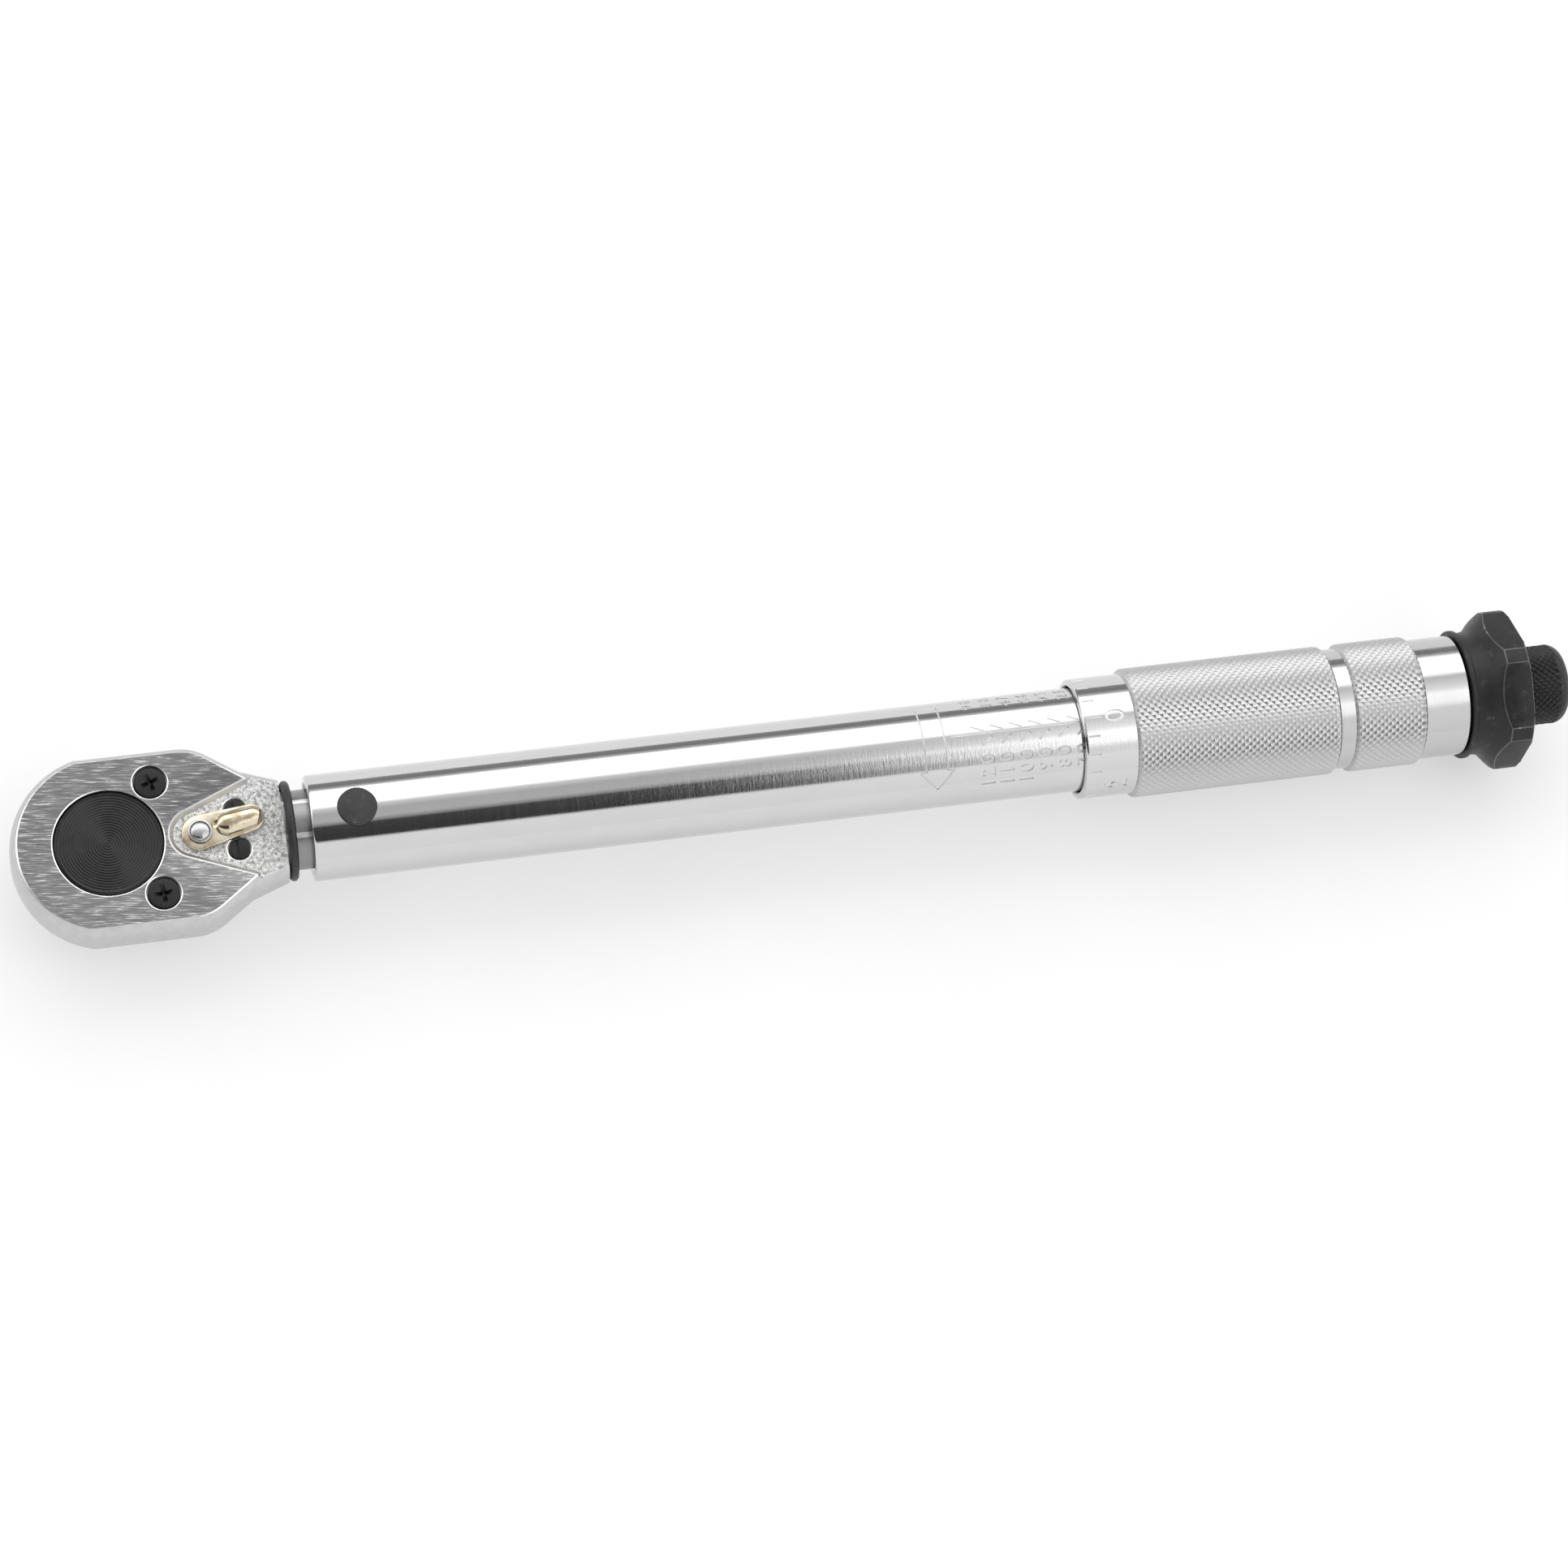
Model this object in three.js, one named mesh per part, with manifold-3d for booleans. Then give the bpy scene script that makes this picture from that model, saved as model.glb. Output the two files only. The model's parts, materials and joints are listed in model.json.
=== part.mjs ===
// Click torque wrench with a reversible ratchet head and a knurled setting grip.
// Millimetres. The origin is the middle of the square drive's end face, +X runs along the wrench
// to the grip and +Z points up out of the ratchet disc. Inside the wrench group, z = 0 is the
// axis of the tube and x = y = 0 is the axis of the drive.
import * as THREE from 'three';
import { mergeVertices } from 'three/addons/utils/BufferGeometryUtils.js';
import Module from 'manifold-3d';

const wasm = await Module();
wasm.setup();

const AXIS_HEIGHT = 18; // tube axis above the square drive's end face
const GAP = 0.3; // clearance between pieces that touch
const FINE = 36; // sides of a large round piece
const SMALL = 14; // sides of a small round piece

const HEAD = {
  face: 6.2, // top and bottom faces, either side of the tube axis
  halfWidth: 18.6,
  noseRadius: 19.3,
  shoulderStart: 16.5,
  shoulderCorner: 19.5,
  shoulder: [22.2, 16.7],
  tip: [30.2, 11],
  bulge: 1.6, // how far the side wall swells past the faces
  bulgeHeight: 3.4,
};
const RECESS = { floor: 5.3, x: 18.3, radius: 5.5, halfAngle: THREE.MathUtils.degToRad(22.4), end: 37.25 };
const NECK = { start: 25, startRadius: 15.4, end: 37.25, endRadius: 11.1 };
const TAIL = { start: 36, radius: 8.6, roundEnd: 60, end: 101, halfWidth: 5, halfHeight: 6 };

const GEAR = {
  teeth: 36,
  tip: 13,
  root: 12,
  top: 3.1,
  bottom: -3.9,
  cavityRadius: 13.3,
  cavityTop: 3.4,
  discRadius: 11.5,
  discTop: 6.1,
  discBore: 11.8,
  collarRadius: 8.8,
  collarBottom: -7.2,
};
const DRIVE = { side: 9.525, cornerRadius: 0.9, endChamfer: 0.9 };
const BALL = { radius: 1.7, x: -4, z: -12.6, boreRadius: 1.95, boreEnd: 2.2 };
const COVER = {
  top: -4.2,
  bottom: -6.2,
  noseRadius: 17,
  halfWidth: 16.3,
  waist: 18,
  end: 31.5,
  endHalfWidth: 9,
};
const COVER_SCREW = { x: 10.2, y: 12.5, headRadius: 3.45, headTop: 5.9, headBottom: 4.5, shank: 1.7, end: -6 };

const PAWL = {
  pivot: [27.3, 4.4],
  hubRadius: 2.9,
  top: 2.9,
  bottom: -3.9,
  rock: THREE.MathUtils.degToRad(3.5), // turn between in gear and out of gear
  boreRadius: 1.8,
  springX: 20.5,
  springZ: -0.5,
  springBore: 1.5,
  springSeat: 5.2,
};
const PIVOT_SCREW = { headRadius: 2.3, headTop: 5.2, headBottom: 4.2, shank: 1.5, end: -5.9, slot: 0.55 };
const POCKET = { halfWidth: 10.1, start: 9, taper: 24, end: 30.9, endHalfWidth: 8.6, top: 3.2 };

const LEVER = {
  x: 19.4,
  angle: THREE.MathUtils.degToRad(10.5),
  hubRadius: 3.9,
  length: 11.2,
  endRadius: 3,
  bottom: 5.5,
  top: 6.4,
  barStart: 5.7,
  barEnd: 11.4,
  barRadius: 2.4,
  barEndRadius: 1.7,
  barTop: 8.4,
};
const SHAFT = { radius: 1.9, bore: 2.2, headRadius: 2.4, headTop: 7.6, journal: 1.4, end: -5.4 };
const PADDLE = { length: 5, halfWidth: 2.4, top: 2.8, bottom: -3.6 };
const DETENT = { tip: 21.7, end: 33, radius: 1.1, bore: 1.4, boreEnd: 38 };
const O_RING = { x: 38.5, centreRadius: 9.9, wire: 0.95 };

const TUBE = { radius: 11.5, bore: 10, front: 42.7, rear: 269.5 };
const PIN = { x: 52.8, radius: 4.2, reach: 11.65 };
const BLOCK = { front: 101.3, size: 7 };
const PLUNGER = { front: 108.6, shoulder: 122.3, end: 126.5, radius: 9.6, spigot: 4.2 };
const MAIN_SPRING = { start: 122.6, end: 208, radius: 7.1, wire: 1.5, turns: 11 };
const SEAT = { spigotFront: 204, front: 208.3, rear: 215.6, radius: 9.6 };
const THRUST_BALL = { x: 216.8, radius: 2.8 };
const SCREW = {
  front: 218,
  collarEnd: 231,
  collarRadius: 9.5,
  threadRadius: 5.8,
  flangeFront: 290.3,
  flangeRear: 295.7,
  flangeRadius: 10.5,
  tailRadius: 5.1,
  end: 312.9,
  boreStart: 221.8,
  boreRadius: 2.4,
};
const NUT = { front: 254, rear: 268, radius: 9.7, bore: 6.1, pinX: 261, pinRadius: 1.2 };
const LOCK_PIN = { x: 226.2, radius: 1.3, inner: 2.1, outer: 9.7 };
const LOCK_ROD = { tip: 223.2, coneEnd: 228.2, tipRadius: 0.6, radius: 2.1, end: 320 };
const KNOB = { front: 314.5, end: 326, radius: 8.93, round: 3.2 };
const GRIP = {
  front: 212.1,
  sleeveRadius: 13.33,
  knurlStart: 223.9,
  knurlRadius: 14.37,
  grooveStart: 270.5,
  grooveEnd: 273.8,
  knurlEnd: 290.3,
  bandRadius: 13.4,
  end: 300.5,
  bore: 11.8,
  wall: 296,
};
const END_NUT = {
  front: 300.8,
  flangeRadius: 14.4,
  flangeEnd: 301.8,
  neckRadius: 14,
  waist: 305.3,
  hexFront: 307.5,
  hexRear: 314.1,
  acrossFlats: 32.2,
  cornerRadius: 17.7,
  chamfer: 1,
  bore: 5.4,
  firstCorner: THREE.MathUtils.degToRad(24.7), // from +Y towards +Z
};

const MATERIALS = {
  chrome: { color: 0xd4d6d8, roughness: 0.12, metalness: 1 },
  brushed: { color: 0x8c8d8f, roughness: 0.4, metalness: 1 },
  black: { color: 0x2a2a2c, roughness: 0.5, metalness: 0.6 },
  gold: { color: 0xcdbf9c, roughness: 0.3, metalness: 1 },
  steel: { color: 0x9a9c9f, roughness: 0.35, metalness: 1 },
  spring: { color: 0x55585c, roughness: 0.4, metalness: 1 },
  rubber: { color: 0x202022, roughness: 0.7, metalness: 0 },
  brass: { color: 0xb8985a, roughness: 0.35, metalness: 1 },
};

// ---- Solids -----------------------------------------------------------------------------------

function signedVolume(position, index) {
  const [a, b, c] = [new THREE.Vector3(), new THREE.Vector3(), new THREE.Vector3()];
  let volume = 0;
  for (let i = 0; i < index.length; i += 3) {
    a.fromBufferAttribute(position, index[i]);
    b.fromBufferAttribute(position, index[i + 1]);
    c.fromBufferAttribute(position, index[i + 2]);
    volume += a.dot(b.cross(c)) / 6;
  }
  return volume;
}

// One closed body with shared corners, no empty triangles and its faces pointing out.
function closed(geometry) {
  geometry.deleteAttribute('normal');
  geometry.deleteAttribute('uv');
  const merged = mergeVertices(geometry);
  const source = merged.index.array;
  const index = [];
  for (let i = 0; i < source.length; i += 3) {
    const [a, b, c] = [source[i], source[i + 1], source[i + 2]];
    if (a !== b && b !== c && c !== a) index.push(a, b, c);
  }
  if (signedVolume(merged.attributes.position, index) < 0) index.reverse();
  merged.setIndex(index);
  return merged;
}

function toSolid(geometry) {
  const mesh = closed(geometry);
  return new wasm.Manifold(
    new wasm.Mesh({
      numProp: 3,
      vertProperties: new Float32Array(mesh.attributes.position.array),
      triVerts: new Uint32Array(mesh.index.array),
    }),
  );
}

function toGeometry(solid) {
  const mesh = solid.getMesh();
  const geometry = new THREE.BufferGeometry();
  geometry.setAttribute('position', new THREE.BufferAttribute(mesh.vertProperties, 3));
  geometry.setIndex(new THREE.BufferAttribute(mesh.triVerts, 1));
  return geometry;
}

function join(...geometries) {
  return toGeometry(geometries.map(toSolid).reduce((whole, piece) => whole.add(piece)));
}

function cut(geometry, ...tools) {
  return toGeometry(tools.map(toSolid).reduce((whole, tool) => whole.subtract(tool), toSolid(geometry)));
}

function overlapOf(first, second) {
  return toGeometry(toSolid(first).intersect(toSolid(second)));
}

// A piece turned about the X or Z axis, from [along, radius] pairs.
function turned(profile, axis = 'x', sides = FINE) {
  const points = profile.map(([along, radius]) => new THREE.Vector2(radius, along));
  const geometry = new THREE.LatheGeometry(points, sides);
  return axis === 'x' ? geometry.rotateZ(-Math.PI / 2) : geometry.rotateX(Math.PI / 2);
}

function ringProfile(profile) {
  return [...profile, profile[0]];
}

// A plain round bar along the X or Z axis.
function bar(radius, from, to, axis = 'x', sides = SMALL) {
  return turned([[from, 0], [from, radius], [to, radius], [to, 0]], axis, sides);
}

function crossBar(radius, from, to, sides = SMALL) {
  return bar(radius, from, to, 'x', sides).rotateZ(Math.PI / 2);
}

function plate(shape, bottom, top, curveSegments = 8) {
  const options = { depth: top - bottom, bevelEnabled: false, curveSegments };
  return new THREE.ExtrudeGeometry(shape, options).translate(0, 0, bottom);
}

function block(x, y, z) {
  const size = [x, y, z].map(([low, high]) => high - low);
  const centre = [x, y, z].map(([low, high]) => (high + low) / 2);
  return new THREE.BoxGeometry(...size).translate(...centre);
}

// The two ends of a pair of pieces that mirror each other across the XZ plane.
const SIDES = [1, -1];

class Helix extends THREE.Curve {
  constructor(radius, start, end, turns) {
    super();
    Object.assign(this, { radius, start, end, turns });
  }

  getPoint(t, target = new THREE.Vector3()) {
    const angle = 2 * Math.PI * this.turns * t;
    const along = this.start + (this.end - this.start) * t;
    return target.set(along, this.radius * Math.cos(angle), this.radius * Math.sin(angle));
  }
}

function coilSpring({ start, end, radius, wire, turns, stepsPerTurn = 8, wireSides = 6 }) {
  const section = new THREE.Shape().absarc(0, 0, wire, 0, 2 * Math.PI);
  const path = new Helix(radius, start + wire, end - wire, turns);
  const steps = turns * stepsPerTurn;
  return new THREE.ExtrudeGeometry(section, { steps, extrudePath: path, curveSegments: wireSides / 2 });
}

// ---- Ratchet head -----------------------------------------------------------------------------

function headOutline() {
  const [shoulderX, shoulderY] = HEAD.shoulder;
  const [tipX, tipY] = HEAD.tip;
  const noseAngle = Math.PI - Math.asin(HEAD.halfWidth / HEAD.noseRadius);
  const outline = new THREE.Shape();
  outline.moveTo(tipX, -tipY);
  outline.lineTo(tipX, tipY);
  outline.lineTo(shoulderX, shoulderY);
  outline.quadraticCurveTo(HEAD.shoulderCorner, HEAD.halfWidth, HEAD.shoulderStart, HEAD.halfWidth);
  outline.absarc(0, 0, HEAD.noseRadius, noseAngle, -noseAngle + 2 * Math.PI);
  outline.lineTo(HEAD.shoulderStart, -HEAD.halfWidth);
  outline.quadraticCurveTo(HEAD.shoulderCorner, -HEAD.halfWidth, shoulderX, -shoulderY);
  return outline;
}

function headBlank() {
  const depth = 2 * (HEAD.face - HEAD.bulgeHeight);
  const forged = new THREE.ExtrudeGeometry(headOutline(), {
    depth,
    bevelThickness: HEAD.bulgeHeight,
    bevelSize: HEAD.bulge,
    bevelSegments: 2,
    curveSegments: 12,
  }).translate(0, 0, -depth / 2);
  const neckProfile = [
    [NECK.start, 0],
    [NECK.start, NECK.startRadius],
    [NECK.end, NECK.endRadius],
    [NECK.end, 0],
  ];
  const slab = block([NECK.start - 1, NECK.end + 1], [-20, 20], [-HEAD.face, RECESS.floor]);
  return join(forged, overlapOf(turned(neckProfile), slab));
}

// The sunk area round the lever: a round end that opens into a wedge towards the neck.
function recessTool() {
  const spread = Math.PI / 2 + RECESS.halfAngle;
  const edgeX = RECESS.x + RECESS.radius * Math.cos(spread);
  const edgeY = RECESS.radius * Math.sin(spread);
  const endY = edgeY + (RECESS.end - edgeX) * Math.tan(RECESS.halfAngle);
  const outline = new THREE.Shape();
  outline.moveTo(RECESS.end, -endY);
  outline.lineTo(RECESS.end, endY);
  outline.lineTo(edgeX, edgeY);
  outline.absarc(RECESS.x, 0, RECESS.radius, spread, 2 * Math.PI - spread);
  return plate(outline, RECESS.floor, TAIL.radius + 1);
}

function pocketTool() {
  const outline = new THREE.Shape([
    new THREE.Vector2(POCKET.start, POCKET.halfWidth),
    new THREE.Vector2(POCKET.taper, POCKET.halfWidth),
    new THREE.Vector2(POCKET.end, POCKET.endHalfWidth),
    new THREE.Vector2(POCKET.end, -POCKET.endHalfWidth),
    new THREE.Vector2(POCKET.taper, -POCKET.halfWidth),
    new THREE.Vector2(POCKET.start, -POCKET.halfWidth),
  ]);
  return plate(outline, COVER.top, POCKET.top);
}

function coverOutline(grow) {
  const radius = COVER.noseRadius + grow;
  const halfWidth = COVER.halfWidth + grow;
  const end = COVER.end + grow;
  const endHalfWidth = COVER.endHalfWidth + grow;
  const noseAngle = Math.PI - Math.asin(halfWidth / radius);
  const outline = new THREE.Shape();
  outline.moveTo(end, -endHalfWidth);
  outline.lineTo(end, endHalfWidth);
  outline.lineTo(COVER.waist, halfWidth);
  outline.absarc(0, 0, radius, noseAngle, 2 * Math.PI - noseAngle);
  outline.lineTo(COVER.waist, -halfWidth);
  return outline;
}

function headBody() {
  const tail = join(
    bar(TAIL.radius, TAIL.start, TAIL.roundEnd, 'x', FINE),
    block([TAIL.roundEnd - 5, TAIL.end], [-TAIL.halfWidth, TAIL.halfWidth],
      [-TAIL.halfHeight, TAIL.halfHeight]),
  );
  const tools = [
    recessTool(),
    bar(GEAR.discBore, GEAR.cavityTop - 1, HEAD.face + 1, 'z', FINE),
    bar(GEAR.cavityRadius, COVER.bottom, GEAR.cavityTop, 'z', FINE),
    pocketTool(),
    plate(coverOutline(0.25), COVER.bottom - 1, COVER.top + 0.2),
    bar(SHAFT.bore, 0, HEAD.face, 'z').translate(LEVER.x, 0, 0),
    bar(DETENT.bore, POCKET.end - 1, DETENT.boreEnd),
    bar(PIN.radius + GAP, -TAIL.radius - 1, TAIL.radius + 1, 'z').translate(PIN.x, 0, 0),
  ];
  for (const side of SIDES) {
    const screwAt = [COVER_SCREW.x, side * COVER_SCREW.y, 0];
    const pivotAt = [PAWL.pivot[0], side * PAWL.pivot[1], 0];
    tools.push(
      bar(COVER_SCREW.shank + GAP, COVER.bottom, HEAD.face, 'z').translate(...screwAt),
      bar(COVER_SCREW.headRadius + GAP, COVER_SCREW.headBottom - 0.2, HEAD.face + 1, 'z', 24)
        .translate(...screwAt),
      bar(PIVOT_SCREW.shank + GAP, 0, HEAD.face, 'z').translate(...pivotAt),
      bar(PIVOT_SCREW.headRadius + GAP, PIVOT_SCREW.headBottom - 0.2, HEAD.face, 'z').translate(...pivotAt),
    );
  }
  return cut(join(headBlank(), tail), ...tools);
}

function coverPlate() {
  const tools = [
    bar(GEAR.collarRadius + 0.5, COVER.bottom - 1, COVER.top + 1, 'z', FINE),
    bar(SHAFT.journal + GAP, SHAFT.end - GAP, COVER.top + 1, 'z').translate(LEVER.x, 0, 0),
  ];
  for (const side of SIDES) {
    const screwHole = bar(COVER_SCREW.shank + GAP, COVER.bottom - 1, COVER.top + 1, 'z');
    const pivotHole = bar(PIVOT_SCREW.shank + GAP, COVER.bottom - 1, COVER.top + 1, 'z');
    tools.push(screwHole.translate(COVER_SCREW.x, side * COVER_SCREW.y, 0));
    tools.push(pivotHole.translate(PAWL.pivot[0], side * PAWL.pivot[1], 0));
  }
  return cut(plate(coverOutline(0), COVER.bottom, COVER.top, 16), ...tools);
}

// Straight-sided teeth. A clearance above zero makes the cutter for a meshing piece.
function toothedPlate(bottom, top, clearance = 0) {
  const pitch = (2 * Math.PI) / GEAR.teeth;
  const widen = clearance / GEAR.tip;
  const tipHalf = pitch * 0.1 + widen;
  const rootHalf = Math.min(pitch * 0.4 + widen, pitch * 0.49);
  const corners = [];
  for (let tooth = 0; tooth < GEAR.teeth; tooth += 1) {
    const middle = tooth * pitch;
    const tip = GEAR.tip + clearance;
    const root = GEAR.root + clearance;
    for (const [radius, angle] of [[root, -rootHalf], [tip, -tipHalf], [tip, tipHalf], [root, rootHalf]]) {
      corners.push(new THREE.Vector2(radius * Math.cos(middle + angle), radius * Math.sin(middle + angle)));
    }
  }
  return plate(new THREE.Shape(corners), bottom, top);
}

function squareBar() {
  const half = DRIVE.side / 2 - DRIVE.endChamfer;
  const corner = DRIVE.cornerRadius;
  const outline = new THREE.Shape();
  for (let quarter = 0; quarter < 4; quarter += 1) {
    const angle = (quarter * Math.PI) / 2;
    const x = Math.sign(Math.cos(angle + Math.PI / 4)) * (half - corner);
    const y = Math.sign(Math.sin(angle + Math.PI / 4)) * (half - corner);
    outline.absarc(x, y, corner, angle, angle + Math.PI / 2);
  }
  const depth = AXIS_HEIGHT + GEAR.collarBottom;
  return new THREE.ExtrudeGeometry(outline, {
    depth,
    bevelThickness: DRIVE.endChamfer,
    bevelSize: DRIVE.endChamfer,
    bevelSegments: 1,
    curveSegments: 3,
  }).translate(0, 0, DRIVE.endChamfer - AXIS_HEIGHT);
}

function ratchetGear() {
  const disc = turned([[0, 0], [0, GEAR.discRadius], [GEAR.discTop - 0.3, GEAR.discRadius],
    [GEAR.discTop, GEAR.discRadius - 0.3], [GEAR.discTop, 0]], 'z');
  const collar = bar(GEAR.collarRadius, GEAR.collarBottom, 0, 'z', FINE);
  const solid = join(toothedPlate(GEAR.bottom, GEAR.top), disc, collar, squareBar());
  return cut(solid, bar(BALL.boreRadius, BALL.x - 4, BALL.boreEnd).translate(0, 0, BALL.z));
}

function ballAt(radius) {
  return new THREE.SphereGeometry(radius, 12, 8);
}

function phillipsScrew() {
  const { headRadius, headTop, headBottom, shank, end } = COVER_SCREW;
  const body = turned([[end, 0], [end, shank - 0.3], [end + 0.3, shank], [headBottom, shank],
    [headBottom, headRadius], [headTop - 0.3, headRadius], [headTop, headRadius - 0.3], [headTop, 0]], 'z', 20);
  const [armLength, armWidth, depth] = [1.7, 0.4, 1];
  const arms = SIDES.map((turn) =>
    block([-armLength, armLength], [-armWidth, armWidth], [headTop - depth, headTop + 1])
      .rotateZ((turn * Math.PI) / 4));
  return cut(body, ...arms);
}

function slottedPivot() {
  const { headRadius, headTop, headBottom, shank, end, slot } = PIVOT_SCREW;
  const body = turned([[end, 0], [end, shank], [headBottom, shank], [headBottom, headRadius],
    [headTop, headRadius], [headTop, 0]], 'z', 20);
  return cut(body, block([-slot / 2, slot / 2], [-5, 5], [headTop - slot, headTop + 1]));
}

// The pawl on the +Y side, in gear. The other one is its mirror image.
function pawlOutline() {
  const [x, y] = PAWL.pivot;
  const outline = new THREE.Shape();
  outline.moveTo(14, 3);
  outline.lineTo(12.2, 3.2);
  outline.lineTo(9.7, 8.4);
  outline.lineTo(11.2, 8.8);
  outline.absarc(x, y, PAWL.hubRadius, Math.PI * 0.46, -Math.PI * 0.54, true);
  return outline;
}

// Cut by the gear's teeth at each step of its rock, so that it lifts out of them freely.
function pawl() {
  const [x, y] = PAWL.pivot;
  const liftSteps = 4;
  const tools = [
    bar(PAWL.boreRadius, PAWL.bottom - 1, PAWL.top + 1, 'z').translate(x, y, 0),
    crossBar(PAWL.springBore, PAWL.springSeat, POCKET.halfWidth).translate(PAWL.springX, 0, PAWL.springZ),
  ];
  for (let step = 0; step <= liftSteps; step += 1) {
    const gear = toothedPlate(PAWL.bottom - 1, PAWL.top + 1, GAP);
    gear.translate(-x, -y, 0).rotateZ((PAWL.rock * step) / liftSteps);
    tools.push(gear.translate(x, y, 0));
  }
  return cut(plate(pawlOutline(), PAWL.bottom, PAWL.top), ...tools);
}

// Mirrored to the -Y side and rocked out of gear.
function oppositePawl() {
  const [x, y] = PAWL.pivot;
  const mirrored = pawl().scale(1, -1, 1);
  return closed(mirrored.translate(-x, y, 0).rotateZ(PAWL.rock).translate(x, -y, 0));
}

function pawlSpring() {
  const rise = POCKET.halfWidth - PAWL.springSeat - 2 * GAP;
  return coilSpring({ start: 0, end: rise, radius: 0.95, wire: 0.22, turns: 5, stepsPerTurn: 6, wireSides: 4 });
}

// ---- Reversing lever, drawn along +X about its own pivot ---------------------------------------

// A bar with a round end about its own origin and a second round end further along +X.
function taperedSlot(startRadius, start, endRadius, end) {
  const lean = Math.asin((startRadius - endRadius) / (end - start));
  const outline = new THREE.Shape();
  outline.absarc(start, 0, startRadius, Math.PI / 2 - lean, -Math.PI / 2 + lean + 2 * Math.PI);
  outline.absarc(end, 0, endRadius, -Math.PI / 2 + lean, Math.PI / 2 - lean);
  return outline;
}

function reverseLever() {
  const outline = taperedSlot(LEVER.hubRadius, 0, LEVER.endRadius, LEVER.length);
  const flat = plate(outline, LEVER.bottom, LEVER.top, 12);
  const round = 0.8;
  const { barRadius, barStart, barEndRadius, barEnd } = LEVER;
  const barOutline = taperedSlot(barRadius - round, barStart, barEndRadius - round, barEnd);
  const thumbBar = new THREE.ExtrudeGeometry(barOutline, {
    depth: LEVER.barTop - LEVER.bottom - 2 * round,
    bevelThickness: round,
    bevelSize: round,
    bevelSegments: 2,
    curveSegments: 8,
  }).translate(0, 0, LEVER.bottom + round);
  return cut(join(flat, thumbBar), bar(SHAFT.bore, LEVER.bottom - 1, LEVER.top + 1, 'z'));
}

function leverShaft() {
  const neckTop = LEVER.top + GAP;
  const spindle = turned([[SHAFT.end, 0], [SHAFT.end, SHAFT.journal], [COVER.top + GAP, SHAFT.journal],
    [COVER.top + GAP, SHAFT.radius], [neckTop, SHAFT.radius], [neckTop, SHAFT.headRadius],
    [SHAFT.headTop - 0.4, SHAFT.headRadius], [SHAFT.headTop, SHAFT.headRadius - 0.5],
    [SHAFT.headTop, 0]], 'z', 20);
  const outline = new THREE.Shape([
    new THREE.Vector2(0, SHAFT.radius - 0.1),
    new THREE.Vector2(-PADDLE.length, PADDLE.halfWidth),
    new THREE.Vector2(-PADDLE.length, -PADDLE.halfWidth),
    new THREE.Vector2(0, -SHAFT.radius + 0.1),
  ]);
  return join(spindle, plate(outline, PADDLE.bottom, PADDLE.top));
}

function detentPlunger() {
  return turned([[DETENT.tip, 0], [DETENT.tip + 0.3, 0.7], [DETENT.tip + 1, DETENT.radius],
    [DETENT.end, DETENT.radius], [DETENT.end, 0]], 'x', SMALL);
}

function oRing() {
  const ring = new THREE.TorusGeometry(O_RING.centreRadius, O_RING.wire, 8, FINE);
  return ring.rotateY(Math.PI / 2);
}

// ---- Tube and torque mechanism ----------------------------------------------------------------

function tube() {
  const { radius, bore, front, rear } = TUBE;
  const shell = turned(ringProfile([[front + 0.6, bore], [front, bore + 0.5], [front, radius - 0.7],
    [front + 0.3, radius - 0.2], [front + 1, radius], [rear - 0.6, radius], [rear, radius - 0.6],
    [rear, bore]]));
  const pinHole = bar(PIN.radius + GAP, -radius - 1, radius + 1, 'z', 24).translate(PIN.x, 0, 0);
  const nutPinHole = crossBar(NUT.pinRadius + GAP, -radius - 1, radius + 1).translate(NUT.pinX, 0, 0);
  return cut(shell, pinHole, nutPinHole);
}

function pivotPin() {
  const { radius, reach } = PIN;
  return turned([[-reach, 0], [-reach, radius - 0.3], [-reach + 0.3, radius], [reach - 0.3, radius],
    [reach, radius - 0.3], [reach, 0]], 'z', 20);
}

function tiltBlock() {
  const half = BLOCK.size / 2;
  return block([BLOCK.front, BLOCK.front + BLOCK.size], [-half, half], [-half, half]);
}

function plunger() {
  const { front, shoulder, end, radius, spigot } = PLUNGER;
  return turned([[front, 0], [front, radius - 1], [front + 1, radius], [shoulder, radius],
    [shoulder, spigot], [end - 0.5, spigot], [end, spigot - 0.5], [end, 0]], 'x', 28);
}

function springSeat() {
  const { spigotFront, front, rear, radius } = SEAT;
  const body = turned([[spigotFront, 0], [spigotFront, PLUNGER.spigot], [front, PLUNGER.spigot],
    [front, radius], [rear - 0.8, radius], [rear, radius - 0.8], [rear, 0]], 'x', 28);
  return cut(body, ballAt(THRUST_BALL.radius + GAP).translate(THRUST_BALL.x, 0, 0));
}

function adjustingScrew() {
  const { front, collarEnd, collarRadius, threadRadius, flangeFront, flangeRear, flangeRadius } = SCREW;
  const body = turned([[front, 0], [front, collarRadius - 1], [front + 1, collarRadius],
    [collarEnd, collarRadius], [collarEnd, threadRadius], [flangeFront, threadRadius],
    [flangeFront, flangeRadius], [flangeRear, flangeRadius], [flangeRear, SCREW.tailRadius],
    [SCREW.end, SCREW.tailRadius], [SCREW.end, 0]], 'x', 28);
  return cut(
    body,
    ballAt(THRUST_BALL.radius + GAP).translate(THRUST_BALL.x, 0, 0),
    bar(SCREW.boreRadius, SCREW.boreStart, SCREW.end + 1),
    crossBar(LOCK_PIN.radius + GAP, -collarRadius - 1, collarRadius + 1).translate(LOCK_PIN.x, 0, 0),
  );
}

function adjusterNut() {
  const { front, rear, radius, bore } = NUT;
  const body = turned(ringProfile([[front, bore], [front, radius - 0.5], [front + 0.5, radius], [rear, radius],
    [rear, bore]]), 'x', 28);
  return cut(body, crossBar(NUT.pinRadius + GAP, -radius - 1, radius + 1).translate(NUT.pinX, 0, 0));
}

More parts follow.
